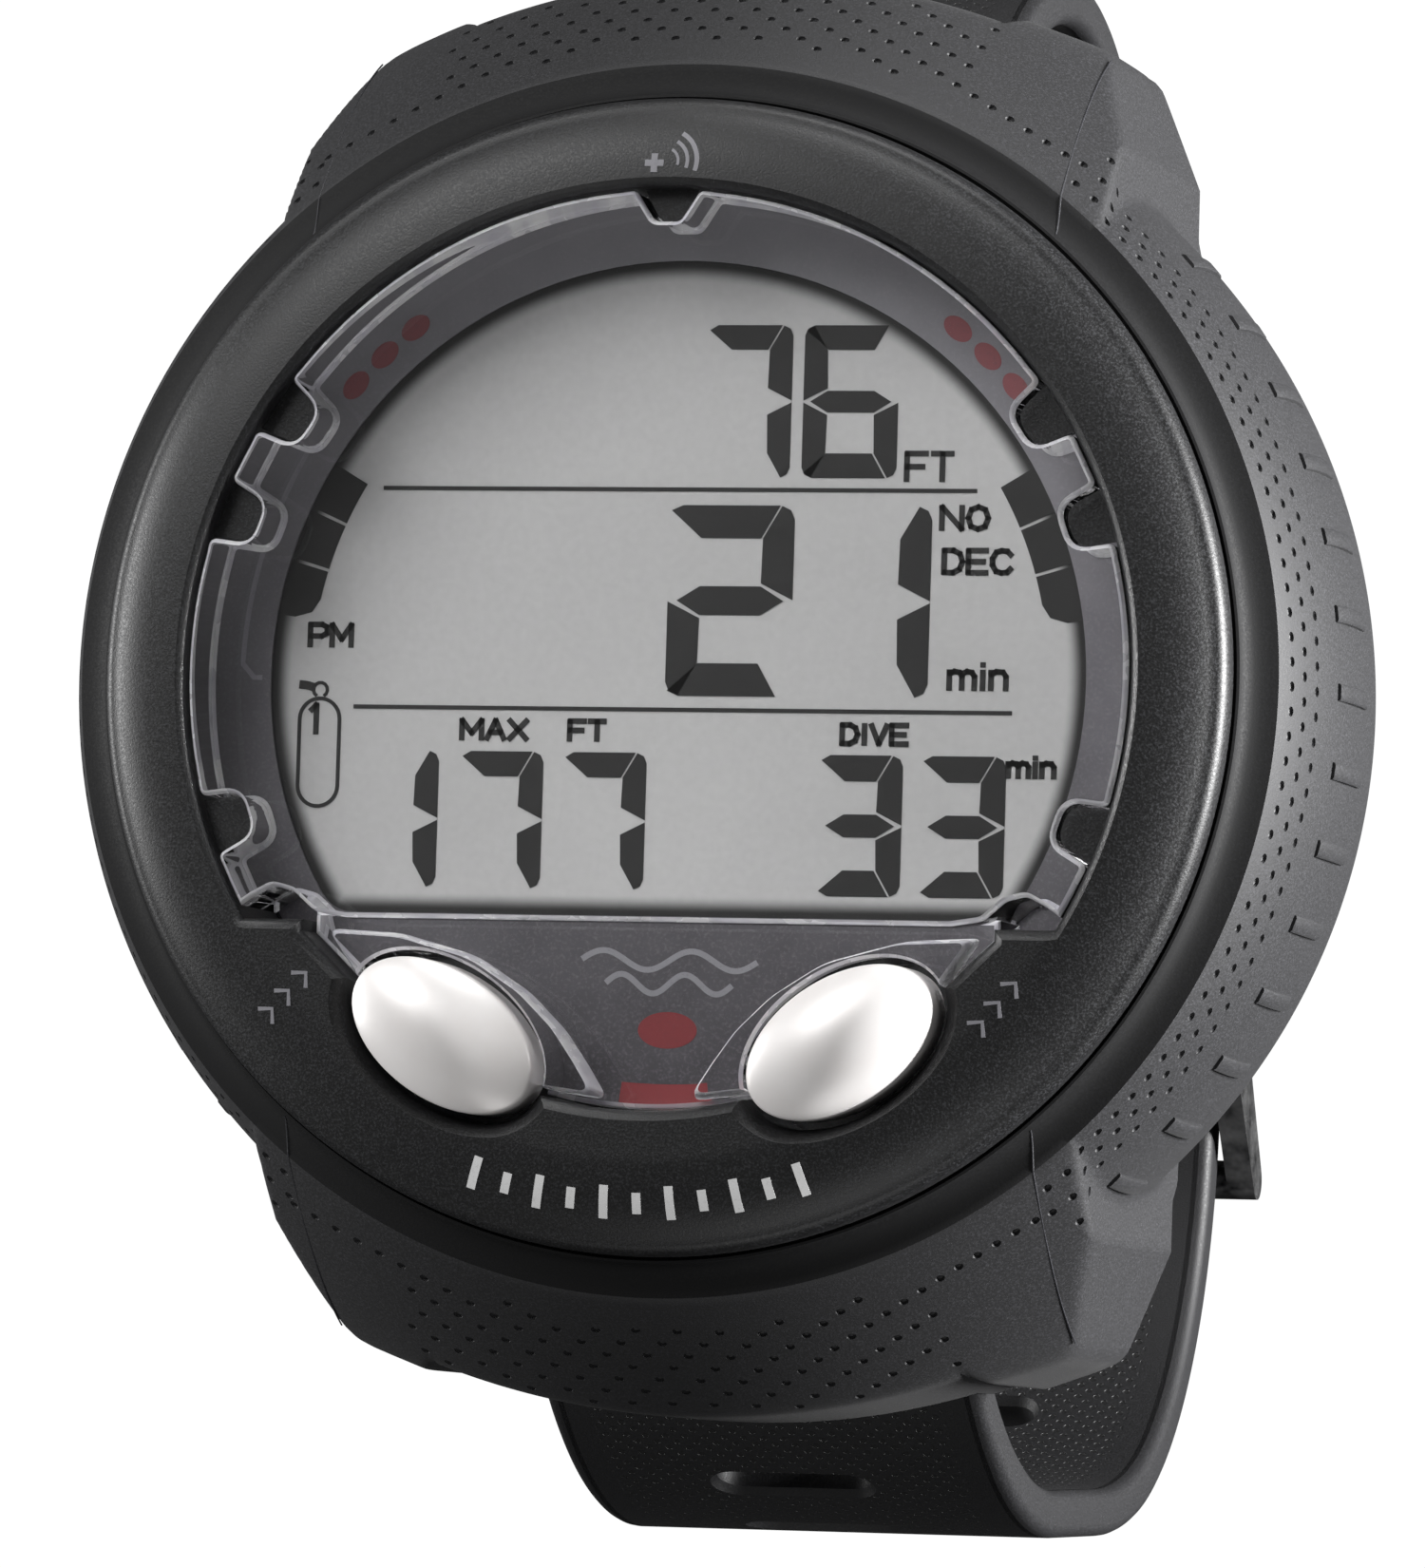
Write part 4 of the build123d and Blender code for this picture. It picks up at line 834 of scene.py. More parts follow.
    def dimples(self) -> bpy.types.Object:
        """Small ellipsoids sunk in the surface, to be cut out of it: one mesh of many balls.

        Each ball is a bottom point, rings of points at the latitudes, and a top point.
        """
        angle, z = self.dimple_places()
        here = self.point(angle, z)
        along = self.point(angle + 0.2, z) - self.point(angle - 0.2, z)
        down = self.point(angle, z - 0.1) - self.point(angle, z + 0.1)
        along /= np.linalg.norm(along, axis=1, keepdims=True)
        out = np.cross(along, down)
        out /= np.linalg.norm(out, axis=1, keepdims=True)
        across = np.cross(out, along)
        out *= np.sign(np.einsum("ij,ij->i", out[:, :2], here[:, :2]))[:, None]
        long_r, wide_r, deep_r = self.dimple_r
        centre = here + 0.04 * out
        lat = np.radians([-50, -18, 18, 50])
        lon = np.linspace(0, 2 * np.pi, 12, endpoint=False)
        belt = [(np.cos(b) * np.cos(a), np.cos(b) * np.sin(a), np.sin(b)) for b in lat for a in lon]
        ball = np.array([(0.0, 0.0, -1.0), *belt, (0.0, 0.0, 1.0)])
        points = (centre[:, None] + long_r * ball[None, :, :1] * along[:, None]
                  + wide_r * ball[None, :, 1:2] * across[:, None] + deep_r * ball[None, :, 2:] * out[:, None])
        rings, n = len(lat), len(lon)
        faces = [(0, 1 + (i + 1) % n, 1 + i) for i in range(n)]
        for first in range(1, 1 + (rings - 1) * n, n):
            faces += [(first + i, first + (i + 1) % n, first + n + (i + 1) % n, first + n + i)
                      for i in range(n)]
        top = 1 + rings * n
        faces += [(top, top - n + i, top - n + (i + 1) % n) for i in range(n)]
        count = len(ball)
        every = [tuple(v + k * count for v in f) for k in range(len(points)) for f in faces]
        return make_mesh("dimples", points.reshape(-1, 3), every)

    def seams(self) -> bpy.types.Object:
        """Mould parting line on each lug, a thin bead at constant X from the collar to the lug's corner."""
        beads = []
        falling = [(self.fitted(self.flare, h), h) for h in np.linspace(self.crease[1], 16.4, 40)]
        profile = np.array([*self.collar, *falling])
        y = np.linspace(*self.seam_y, 60)
        z = np.interp(np.hypot(self.seam_x, y), profile[:, 0], profile[:, 1]) - 0.01
        for sx in (1, -1):
            for sy in (1, -1):
                beads.append(tube("bead", np.stack([np.full(60, sx * self.seam_x), sy * y, z], 1), 0.05))
        return join(beads, "boot_parting_line")

    def grip(self) -> bpy.types.Object:
        """Row of plain raised bars on each side wall, each following the wall's curve."""
        bars = []
        z = np.linspace(*self.grip_z, 9)
        lift = self.grip_lift * np.sin(np.linspace(0.25, np.pi - 0.25, 9)) ** 0.3
        section = ((-0.75, -0.2), (0.75, -0.2), (0.75, lift - 0.08), (0.55, lift), (-0.55, lift),
                   (-0.75, lift - 0.08))
        for angle in np.arange(-48, 46, self.grip_pitch):
            for facing in (angle, 180 - angle):
                ring = [self.point(facing + turn, z, out) for turn, out in section]
                bars.append(grid_mesh("bar", np.stack(ring, 1)))
        return join(bars, "boot_grip_bars")

    def paint_collar_shade(self, boot: bpy.types.Object) -> None:
        """Give the collar beside the bezel a darker, less specular copy of the boot's rubber: painted shade
        for the groove.
        """
        boot.data.materials.append(COLLAR_PAINTED_SHADE.material())
        centre = np.zeros(3 * len(boot.data.polygons))
        boot.data.polygons.foreach_get("center", centre)
        # Faces above the crease get the painted-shade finish.
        collar = centre[2::3] > (self.crease[1] + 0.02) * MM
        boot.data.polygons.foreach_set("material_index", collar.astype(np.int32))

    def build(self) -> None:
        """Make the boot, carve it and dress it."""
        boot = self.shell()
        for side in (1, -1):
            carve(boot, self.pocket(side))
            bore = arc((side * self.pin[0], self.pin[1]), self.bore_r, 0, 350, 36)
            carve(boot, prism("bore", bore, [(0, -self.bore_half_x), (0, self.bore_half_x)], "X"))
        carve(boot, self.dimples())
        settle(boot, BOOT_RUBBER, CASE, ["boot"])
        self.paint_collar_shade(boot)
        settle(self.seams(), BOOT_SEAM, CASE)
        settle(self.grip(), BOOT_RUBBER, CASE)


# ---- straps ------------------------------------------------------------------------------------------
@dataclass
class StrapHalf:
    """One strap half: a rounded flat section carried along tangent runs in the YZ plane.

    Each step is (0, length) for a straight run or (radius, degrees) for a bend. The start lies pin_step
    out from the pin and below it. bar is the place of the buckle's bar, where the half has one; its knuckle
    lies bar_reach past the last run and stands bar_drop into the wrist side.
    """

    name: str
    node: str
    start: tuple[float, float]
    heading: float
    steps: tuple
    slots: tuple = ()
    tip_r: float = 0.0
    bar: Optional[tuple[float, float]] = None
    width: float = 27.0
    thick: float = 2.9
    edge: float = 0.8
    knuckle_r: float = 2.7
    slot_size: tuple[float, float] = (9.5, 2.8)
    spacing: float = 0.55
    pin_step: float = 0.3
    pin_back: float = 0.424
    pin_bore: float = 1.0
    bar_reach: float = 2.04
    bar_r: float = 2.15
    bar_bore: float = 1.05
    bar_drop: float = 0.7
    bar_end: float = 4.2
    past_x: float = 14.0
    gap: tuple = ((-20.5, -61.0), (-12.5, -61.0), (-12.5, -52.6), (-20.5, -52.6))
    gap_half_x: float = 2.2

    def sizes(self) -> list[float]:
        """Length of each run."""
        return [radius * abs(np.radians(amount)) if radius else amount for radius, amount in self.steps]

    def route(self, s: np.ndarray) -> tuple[np.ndarray, np.ndarray]:
        """Points and headings at distances s; the first and last runs go on past their ends.

        On a bend the heading turns by distance over radius, and the point is the bend's centre plus its
        radius, square to the heading.
        """
        point, angle, done = np.array(self.start, float), np.radians(self.heading), 0.0
        places = np.zeros((len(s), 2))
        turned = np.zeros(len(s))
        last = len(self.steps) - 1
        for k, ((radius, amount), size) in enumerate(zip(self.steps, self.sizes())):
            here = (s >= (done if k else -np.inf)) & (s < (done + size if k < last else np.inf))
            d = s[here] - done
            way = np.array([np.cos(angle), np.sin(angle)])
            if radius:
                sign = np.sign(amount)
                centre = point + sign * radius * np.array([-way[1], way[0]])
                a = angle + sign * d / radius
                places[here] = centre + sign * radius * np.stack([np.sin(a), -np.cos(a)], 1)
                turned[here] = a
                angle += np.radians(amount)
                point = centre + sign * radius * np.array([np.sin(angle), -np.cos(angle)])
            else:
                places[here] = point + d[:, None] * way
                turned[here] = angle
                point = point + amount * way
            done += size
        return places, turned

    def build(self) -> bpy.types.Object:
        """Make the half: thickness swells to a round knuckle at the pin, and to a smaller one at the bar."""
        total = sum(self.sizes())
        back = self.pin_back
        s_tip = -back - self.knuckle_r
        end = total if self.bar is None else total + self.bar_end
        knuckle = s_tip + self.knuckle_r * (1 - np.cos(np.linspace(0.12, np.pi / 2, 12)))
        s = np.concatenate([knuckle, np.arange(-back + 0.3, end - 3.0, self.spacing),
                            end - 3.0 * np.cos(np.linspace(0, np.pi / 2 - 0.1, 14))])
        places, angle = self.route(s)
        half = self.thick / 2
        swell = np.sqrt(np.maximum(self.knuckle_r ** 2 - (s + back) ** 2, 0))
        up = np.where(s < -back, swell, np.maximum(swell, half))
        down = up.copy()
        if self.bar is not None:
            reach = total + self.bar_reach
            ring = np.sqrt(np.maximum(self.bar_r ** 2 - (s - reach) ** 2, 0))
            low = ring + self.bar_drop
            up = np.where(s > reach, ring - self.bar_drop, up)
            down = np.where(s > reach, low, np.maximum(down, np.where(ring > 0, low, 0)))
            keep = s < reach + self.bar_r - 0.02
            s, places, angle, up, down = (v[keep] for v in (s, places, angle, up, down))
        wide = np.full(len(s), self.width / 2)
        if self.tip_r:
            into = np.clip(s - (total - self.tip_r), 0, self.tip_r - 0.02)
            wide = wide - self.tip_r + np.sqrt(self.tip_r ** 2 - into ** 2)
        return self.skin(s, places, angle, up, down, wide)

    def skin(self, s, places, angle, up, down, wide) -> bpy.types.Object:
        """Wrap the section round the route.

        Seen along the strap it is a rectangle with a quarter circle at each corner. Each of its points has
        shares of the half width and the half thickness, and shares of the edge's radius to take off them.
        The points are sorted by their bearing from the middle.
        """
        quarter = np.linspace(0, np.pi / 2, 6)
        flat = np.linspace(-1, 1, 25)[1:-1]
        section = [(sx, sz, sx * (np.cos(t) - 1), sz * (np.sin(t) - 1))
                   for sx in (1, -1) for sz in (1, -1) for t in quarter]
        section += [(place, sz, 0.0, 0.0) for sz in (1, -1) for place in flat]
        section.sort(key=lambda row: -np.arctan2(row[1] + 0.9 * row[3], row[0] * 8 + row[2]))
        u, v, cu, cv = np.array(section).T
        edge = np.minimum(self.edge, 0.95 * np.minimum(up, down))[:, None]
        x = wide[:, None] * u[None] + edge * cu[None]
        tall = np.where(v[None] > 0, up[:, None], down[:, None])
        h = tall * v[None] + edge * cv[None]
        normal = np.stack([-np.sin(angle), np.cos(angle)], 1)
        y = places[:, :1] + normal[:, :1] * h
        z = places[:, 1:] + normal[:, 1:] * h
        made = grid_mesh(self.name, np.stack([x, y, z], -1))
        store = made.data.uv_layers.new(name="strap")
        corner = np.zeros(len(made.data.loops), np.int32)
        made.data.loops.foreach_get("vertex_index", corner)
        flatmap = np.stack([x, np.broadcast_to(s[:, None], x.shape)], -1).reshape(-1, 2)
        store.data.foreach_set("uv", flatmap[corner].astype(np.float32).ravel())
        return made

    def finish(self) -> None:
        """Cut the slots, the pin's bore and the tongue's gap, and dress the half."""
        strap = self.build()
        pin = np.array(self.start) - self.pin_step * np.array([np.sign(self.start[0]), -1.0])
        through = [(0, -self.past_x), (0, self.past_x)]
        carve(strap, prism("bore", arc(pin, self.pin_bore, 0, 350, 36), through, "X"))
        for at in self.slots:
            (place,), (turn,) = self.route(np.array([at]))
            carve(strap, self.slot_tool(place, turn))
        if self.bar is not None:
            carve(strap, prism("bore", arc(self.bar, self.bar_bore, 0, 350, 36), through, "X"))
            across = [(0, -self.gap_half_x), (0, self.gap_half_x)]
            carve(strap, prism("gap", np.array(self.gap), across, "X"))
        settle(strap, STRAP_RUBBER, CASE, [self.node])

    def slot_tool(self, place: np.ndarray, turn: float) -> bpy.types.Object:
        """Round-ended slot through the strap, flared a little at both faces."""
        long_half, r = self.slot_size[0] / 2, self.slot_size[1] / 2
        outline = np.vstack([arc((long_half - r, 0), r, -90, 90, 14),
                             arc((-long_half + r, 0), r, 90, 270, 14)])
        half = self.thick / 2
        levels = [(0.55, -half - 0.3), (0.25, -half + 0.15), (0, -half + 0.5), (0, half - 0.5),
                  (0.25, half - 0.15), (0.55, half + 0.3)]
        tool = prism("slot", outline, levels)
        c, s = np.cos(turn), np.sin(turn)
        y, z = place * MM
        tool.data.transform(Matrix(((1, 0, 0, 0), (0, c, -s, y), (0, s, c, z), (0, 0, 0, 1))))
        return tool


TAIL = StrapHalf(
    "strap_tail", "lower_strap", (-36.2, 5.3), 225.3,
    ((0, 2.5), (30.8, 45.9), (0, 12.2), (41.8, 12.0), (27.1, 76.8), (0, 28.27), (18.25, 53.0), (0, 14.0)),
    tuple(84.7 + 8.84 * k for k in range(-8, 6)), tip_r=8.0)
BUCKLE_HALF = StrapHalf(
    "strap_buckle_half", "upper_strap", (36.2, 5.3), 314.0,
    ((0, 2.5), (24.4, -37.9), (20.6, -43.1), (0, 32.4), (15.0, -53.0), (0, 22.6)), bar=(-15.5, -56.59))


# ---- bezel -------------------------------------------------------------------------------------------
@dataclass
class Bezel:
    """Front housing: the black ring round the window, with the pocket that holds the lens."""

    outer_r: float = 33.2
    top_z: float = 33.2
    floor_z: float = 25.0
    floor_t: float = 2.4
    case_r: float = 32.0
    wall: float = 2.4
    parting_z: float = 20.0
    screws: tuple = (0, 60, 120, 180, 218, 322)
    screw_ring: float = 26.2
    face_r: float = 32.45
    level_r: float = 27.9
    opening_r: float = 25.1
    opening_y: float = -14.5
    lip: tuple = ((0, 25.0), (0, 32.45), (0.1, 32.75), (0.3, 33.0), (0.62, 33.2), (1.4, 34.0))
    well: tuple = ((0, 25.0), (0, 31.2), (0.14, 32.2), (0.5, 32.9), (0.95, 33.2), (1.8, 34.0))
    peg: tuple = ((0, 29.7), (0, 31.2), (-0.25, 31.6))
    shaft_r: float = 1.3

    def slope(self, r: np.ndarray) -> np.ndarray:
        """Height of the ring's face: level inside, then a curve that falls faster towards the edge."""
        t = np.clip((r - self.level_r) / (self.outer_r - self.level_r), 0, 1)
        return self.top_z - 0.62 * t - 1.5 * t ** 3

    def turned(self) -> bpy.types.Object:
        """The ring's section carried round the axis, before anything is cut."""
        under = self.floor_z - self.floor_t
        inside = self.case_r - self.wall
        face_r = np.concatenate([[0.4, 8.0, 16.0, 22.0], np.linspace(25.0, self.face_r, 26)])
        face = np.stack([face_r, self.slope(face_r)], 1)
        t = np.linspace(0, np.pi / 2, 8)[1:]
        fall = 0.85 * (1 - np.cos(t))
        edge = np.stack([self.face_r + 0.75 * np.sin(t), face[-1, 1] - fall - 0.12 * t], 1)
        lower = np.array([(33.2, 29.9), (33.1, 29.6), (32.9, 29.5), (self.case_r, 29.5),
                          (self.case_r, self.parting_z), (inside, self.parting_z), (inside, under),
                          (20.0, under), (0.4, under)])
        section = np.vstack([face, edge, lower])
        a = np.linspace(0, 2 * np.pi, 360, endpoint=False)
        ring = section[:, :1] * np.cos(a), section[:, :1] * np.sin(a), np.repeat(section[:, 1:], len(a), 1)
        return grid_mesh("bezel_front_housing", np.stack(ring, -1))

    def build(self) -> None:
        """Turn the ring, add the bosses and pegs, cut the pocket, the wells and the display's opening."""
        ring = self.turned()
        under = self.floor_z - self.floor_t
        centres = []
        for angle in np.radians(self.screws):
            place = self.screw_ring * np.cos(angle), self.screw_ring * np.sin(angle)
            centres.append((place, 1.6, self.parting_z))
        keys = [(side * PLAN.button_x, PLAN.button_y) for side in (-1, 1)]
        centres += [(place, 2.9, 20.9) for place in keys]
        for place, radius, low in centres:
            boss = prism("boss", arc(place, radius, 0, 350, 36), [(0, low), (0, under + 0.3)])
            carve(ring, boss, "UNION")
        carve(ring, prism("pocket", PLAN.pocket(0.15), self.lip))
        carve(ring, prism("pocket", PLAN.lower(0.15), self.lip))
        for well in PLAN.wells(PLAN.well_gap):
            carve(ring, prism("well", well, self.well))
        start = np.degrees(np.arcsin(self.opening_y / self.opening_r))
        opening = arc((0, 0), self.opening_r, start, 180 - start, 200)
        carve(ring, prism("opening", opening, [(0, 22.0), (0, 26.0)]))
        for place in keys:
            shaft = arc(place, self.shaft_r, 0, 350, 36)
            carve(ring, prism("shaft", shaft, [(0, 20.0), (0, 26.0)]))
        for angle in PLAN.notch_angles:
            corners, radii = PLAN.notch(angle, 0.3)
            out = np.array([np.cos(np.radians(angle)), np.sin(np.radians(angle))])
            corners[0] += 0.6 * out
            corners[3] += 0.6 * out
            peg = rounded(corners, [0, radii[1] * 0.8, radii[2] * 0.8, 0])
            carve(ring, prism("peg", peg, self.peg), "UNION")
        settle(ring, BEZEL_PLASTIC, CASE, ["front_housing"])


BEZEL = Bezel()


# ---- lens --------------------------------------------------------------------------------------------
@dataclass
class Lens:
    """Clear window: a raised disc with notches, a stepped lower part, and a pad round each button.

    The pads are eye-shaped; eye holds the left one's corners, eye_radii their fillets.
    """

    bottom_z: float = 25.3
    top_z: float = 32.8
    step_z: float = 30.6
    pad_rise: float = 1.8
    eye: tuple = ((-19.3, -14.75), (-15.0, -14.95), (-10.4, -16.2), (-7.2, -18.25), (-5.0, -20.4),
                  (-3.6, -22.4), (-2.4, -24.3), (-6.6, -23.75), (-16.8, -18.25))
    eye_radii: tuple = (0.3, 6, 6, 6, 6, 6, 0.4, 6, 0.6)
    eye_middle: tuple[float, float] = (-11.0, -19.6)

    def build(self) -> None:
        """Join the discs and pads, cut the wells, and dress the lens; sloping faces get the pale edge finish,
        a painted highlight.
        """
        foot = [(-0.2, self.bottom_z), (0, self.bottom_z + 0.2)]
        top = [*foot, (0, 32.35), (-0.05, 32.58), (-0.14, 32.73), (-0.26, self.top_z)]
        lens = prism("lens_clear", PLAN.window(), top)
        low = [*foot, (0, self.step_z - 0.3), (-0.08, self.step_z - 0.1), (-0.3, self.step_z)]
        carve(lens, prism("lower", PLAN.lower(), low), "UNION")
        smooth = rounded(np.array(self.eye), self.eye_radii, 9)[::-1]
        rise = self.step_z + self.pad_rise
        middle = np.array(self.eye_middle)
        levels = ((1, self.step_z - 1.0), (1, self.step_z + 0.05), (0.965, rise - 0.5),
                  (0.945, rise - 0.12), (0.925, rise))
        eyes = [(middle + share * (smooth - middle), z) for share, z in levels]
        mirrored = [((eye * (-1, 1))[::-1], z) for eye, z in eyes]
        for sections in (eyes, mirrored):
            carve(lens, stack("eye", sections), "UNION")
        for well in PLAN.wells(PLAN.well_gap):
            tool = [(0, 20.0), (0, rise - 0.3), (0.12, rise - 0.08), (0.4, rise + 0.3)]
            carve(lens, prism("well", well, tool))
        settle(lens, LENS_CLEAR, CASE, ["lens"], np.radians(25))
        # Painted highlight: the sloping faces get a pale finish for the bright edge reflections.
        lens.data.materials.append(LENS_EDGE_HIGHLIGHT.material())
        normal = np.zeros(3 * len(lens.data.polygons))
        lens.data.polygons.foreach_get("normal", normal)
        level = np.abs(normal[2::3])
        edge = (level > 0.05) & (level < 0.97)
        lens.data.polygons.foreach_set("material_index", edge.astype(np.int32))


# ---- buttons -----------------------------------------------------------------------------------------
@dataclass
class Buttons:
    """Two oval domed keys, each hollowed under its face for the top of its spring."""

    under_z: float = 30.0
    rim_z: float = 33.4
    dome: float = 1.45
    dome_share: float = 0.965
    dome_power: float = 0.92
    spring_room: tuple[float, float, float] = (1.7, 2.5, 31.5)

    def room(self, side: int) -> bpy.types.Object:
        """Ring-shaped space that the spring's top coil goes up into when the key is pressed."""
        inner, outer, top = self.spring_room
        low = self.under_z - 1
        a = np.linspace(0, 2 * np.pi, 48, endpoint=False)
        rings = [np.stack([side * PLAN.button_x + r * np.cos(a), PLAN.button_y + r * np.sin(a), 0 * a + z], 1)
                 for r, z in ((inner, low), (outer, low), (outer, top), (inner, top))]
        return grid_mesh("room", np.array(rings), True)

    def build(self) -> None:
        """Each key: a straight rim, a small round, and a dome that falls nearly as the radius squared."""
        long_half, short_half = PLAN.button_half
        under, rim = self.under_z, self.rim_z
        levels = [(0.94, under), (0.99, under + 0.1), (1.0, under + 0.3), (1.0, rim - 0.35),
                  (0.995, rim - 0.17), (0.983, rim - 0.05)]
        for share in np.sin(np.linspace(np.pi / 2, 0.04, 26)) * self.dome_share:
            fall = (1 - (share / self.dome_share) ** 2) ** self.dome_power
            levels.append((share, rim + self.dome * fall))
        for side, name in ((-1, "left"), (1, "right")):
            place = side * PLAN.button_x, PLAN.button_y
            slope = side * PLAN.button_slope
            key = stack(f"{name}_key", [(ellipse(place, long_half * share, short_half * share, slope), z)
                                        for share, z in levels])
            carve(key, self.room(side))
            settle(key, PEARL, f"{name}_button_body", [f"{name}_button"], np.radians(50))


# ---- display -----------------------------------------------------------------------------------------
class Segment(Enum):
    """The seven strokes of a digit, from the top, clockwise, with the middle last."""

    TOP = "a"
    UPPER_RIGHT = "b"
    LOWER_RIGHT = "c"
    BOTTOM = "d"
    LOWER_LEFT = "e"
    UPPER_LEFT = "f"
    MIDDLE = "g"


DIGITS = {"1": "bc", "2": "abged", "3": "abgcd", "6": "afgedc", "7": "abc"}

# Stroke letters in a unit square: each is a tuple of runs of points.
LETTERS: dict[str, tuple] = {
    "A": (((0, 0), (0.5, 1), (1, 0)), ((0.2, 0.35), (0.8, 0.35))),
    "C": (((1, 0.8), (0.8, 0.97), (0.5, 1), (0.2, 0.93), (0, 0.65), (0, 0.35), (0.2, 0.07), (0.5, 0),
           (0.8, 0.03), (1, 0.2)),),
    "D": (((0, 0), (0, 1), (0.5, 1), (0.85, 0.85), (1, 0.5), (0.85, 0.15), (0.5, 0), (0, 0)),),
    "E": (((1, 0), (0, 0), (0, 1), (1, 1)), ((0, 0.5), (0.85, 0.5))),
    "F": (((0, 0), (0, 1), (1, 1)), ((0, 0.5), (0.85, 0.5))),
    "I": (((0.5, 0), (0.5, 1)),),
    "M": (((0, 0), (0, 1), (0.5, 0.3), (1, 1), (1, 0)),),
    "N": (((0, 0), (0, 1), (1, 0), (1, 1)),),
    "O": (((0.5, 0), (0.15, 0.12), (0, 0.5), (0.15, 0.88), (0.5, 1), (0.85, 0.88), (1, 0.5), (0.85, 0.12),
           (0.5, 0)),),
    "P": (((0, 0), (0, 1), (0.7, 1), (1, 0.88), (1, 0.58), (0.7, 0.45), (0, 0.45)),),
    "T": (((0.5, 0), (0.5, 1)), ((0, 1), (1, 1))),
    "V": (((0, 1), (0.5, 0), (1, 1)),),
    "X": (((0, 0), (1, 1)), ((0, 1), (1, 0))),
    "m": (((0, 0), (0, 0.7)), ((0, 0.6), (0.2, 0.7), (0.4, 0.66), (0.5, 0.5), (0.5, 0)),
          ((0.5, 0.6), (0.7, 0.7), (0.9, 0.66), (1, 0.5), (1, 0))),
    "n": (((0, 0), (0, 0.7)), ((0, 0.58), (0.35, 0.7), (0.8, 0.68), (1, 0.5), (1, 0))),
    "i": (((0.5, 0), (0.5, 0.7)), ((0.5, 0.94), (0.5, 1))),
    "1": (((0, 0.8), (0.6, 1), (0.6, 0)),),
}
LETTER_WIDTH = {"I": 0.25, "i": 0.25, "M": 1.15, "m": 1.35, "n": 0.8, "1": 1.0}


def segment_outline(kind: Segment, w: float, h: float, t: float) -> np.ndarray:
    """Outline of one stroke in a digit of width w, height h and stroke t, with narrow mitred gaps.

    The left strokes mirror the right ones, and the lower strokes mirror the upper ones.
    """
    gap = 0.055
    if kind is Segment.MIDDLE:
        d = t * 0.44
        return np.array([(t * 0.28, h / 2), (t, h / 2 - d), (w - t, h / 2 - d), (w - t * 0.28, h / 2),
                         (w - t, h / 2 + d), (t, h / 2 + d)])
    if kind in (Segment.TOP, Segment.BOTTOM):
        flat = np.array([(0.1, h - 0.3), (t, h - t), (w - t - gap, h - t), (w - 0.42 * t - gap, h),
                         (0.42 * t, h)])
    else:
        low = h / 2 + gap
        flat = np.array([(w - 0.42 * t + gap, h - 0.02), (w - t + gap, h - t), (w - t, low + t * 0.5),
                         (w, low), (w, h - 0.42 * t), (w - 0.12 * t, h - 0.14 * t)])
    if kind in (Segment.BOTTOM, Segment.LOWER_RIGHT, Segment.LOWER_LEFT):
        flat = flat * (1, -1) + (0, h)
    if kind in (Segment.LOWER_LEFT, Segment.UPPER_LEFT):
        flat = flat * (-1, 1) + (w, 0)
    return flat


def plate(outline: np.ndarray, low: float, high: float) -> bpy.types.Object:
    """Thin flat solid over an outline in either sense."""
    step = np.roll(outline, -1, 0)
    area = np.sum(outline[:, 0] * step[:, 1] - step[:, 0] * outline[:, 1])
    return prism("plate", outline if area > 0 else outline[::-1], [(0, low), (0, high)])


def stroke(path: np.ndarray, width: float, height: Callable[[np.ndarray], np.ndarray], lift: float,
           closed: bool = False) -> bpy.types.Object:
    """Thin printed line along a flat path, lying on a surface of a given height.

    Args:
        path: N by 2 points.
        width: the line's width.
        height: gives the surface's height at each point.
        lift: the ink's thickness.
        closed: True if the path is a loop.
    Returns:
        The line's mesh.
    """
    if closed:
        along = np.roll(path, -1, 0) - np.roll(path, 1, 0)
    else:
        along = np.gradient(path, axis=0)
    along /= np.linalg.norm(along, axis=1, keepdims=True)
    side = np.stack([-along[:, 1], along[:, 0]], 1) * width / 2
    ring = []
    for way, up in ((1, 1), (-1, 1), (-1, 0), (1, 0)):
        flat = path + way * side
        base = height(flat)
        ring.append(np.column_stack([flat, base + (lift if up else -0.02)]))
    return grid_mesh("line", np.stack(ring, 1), closed)


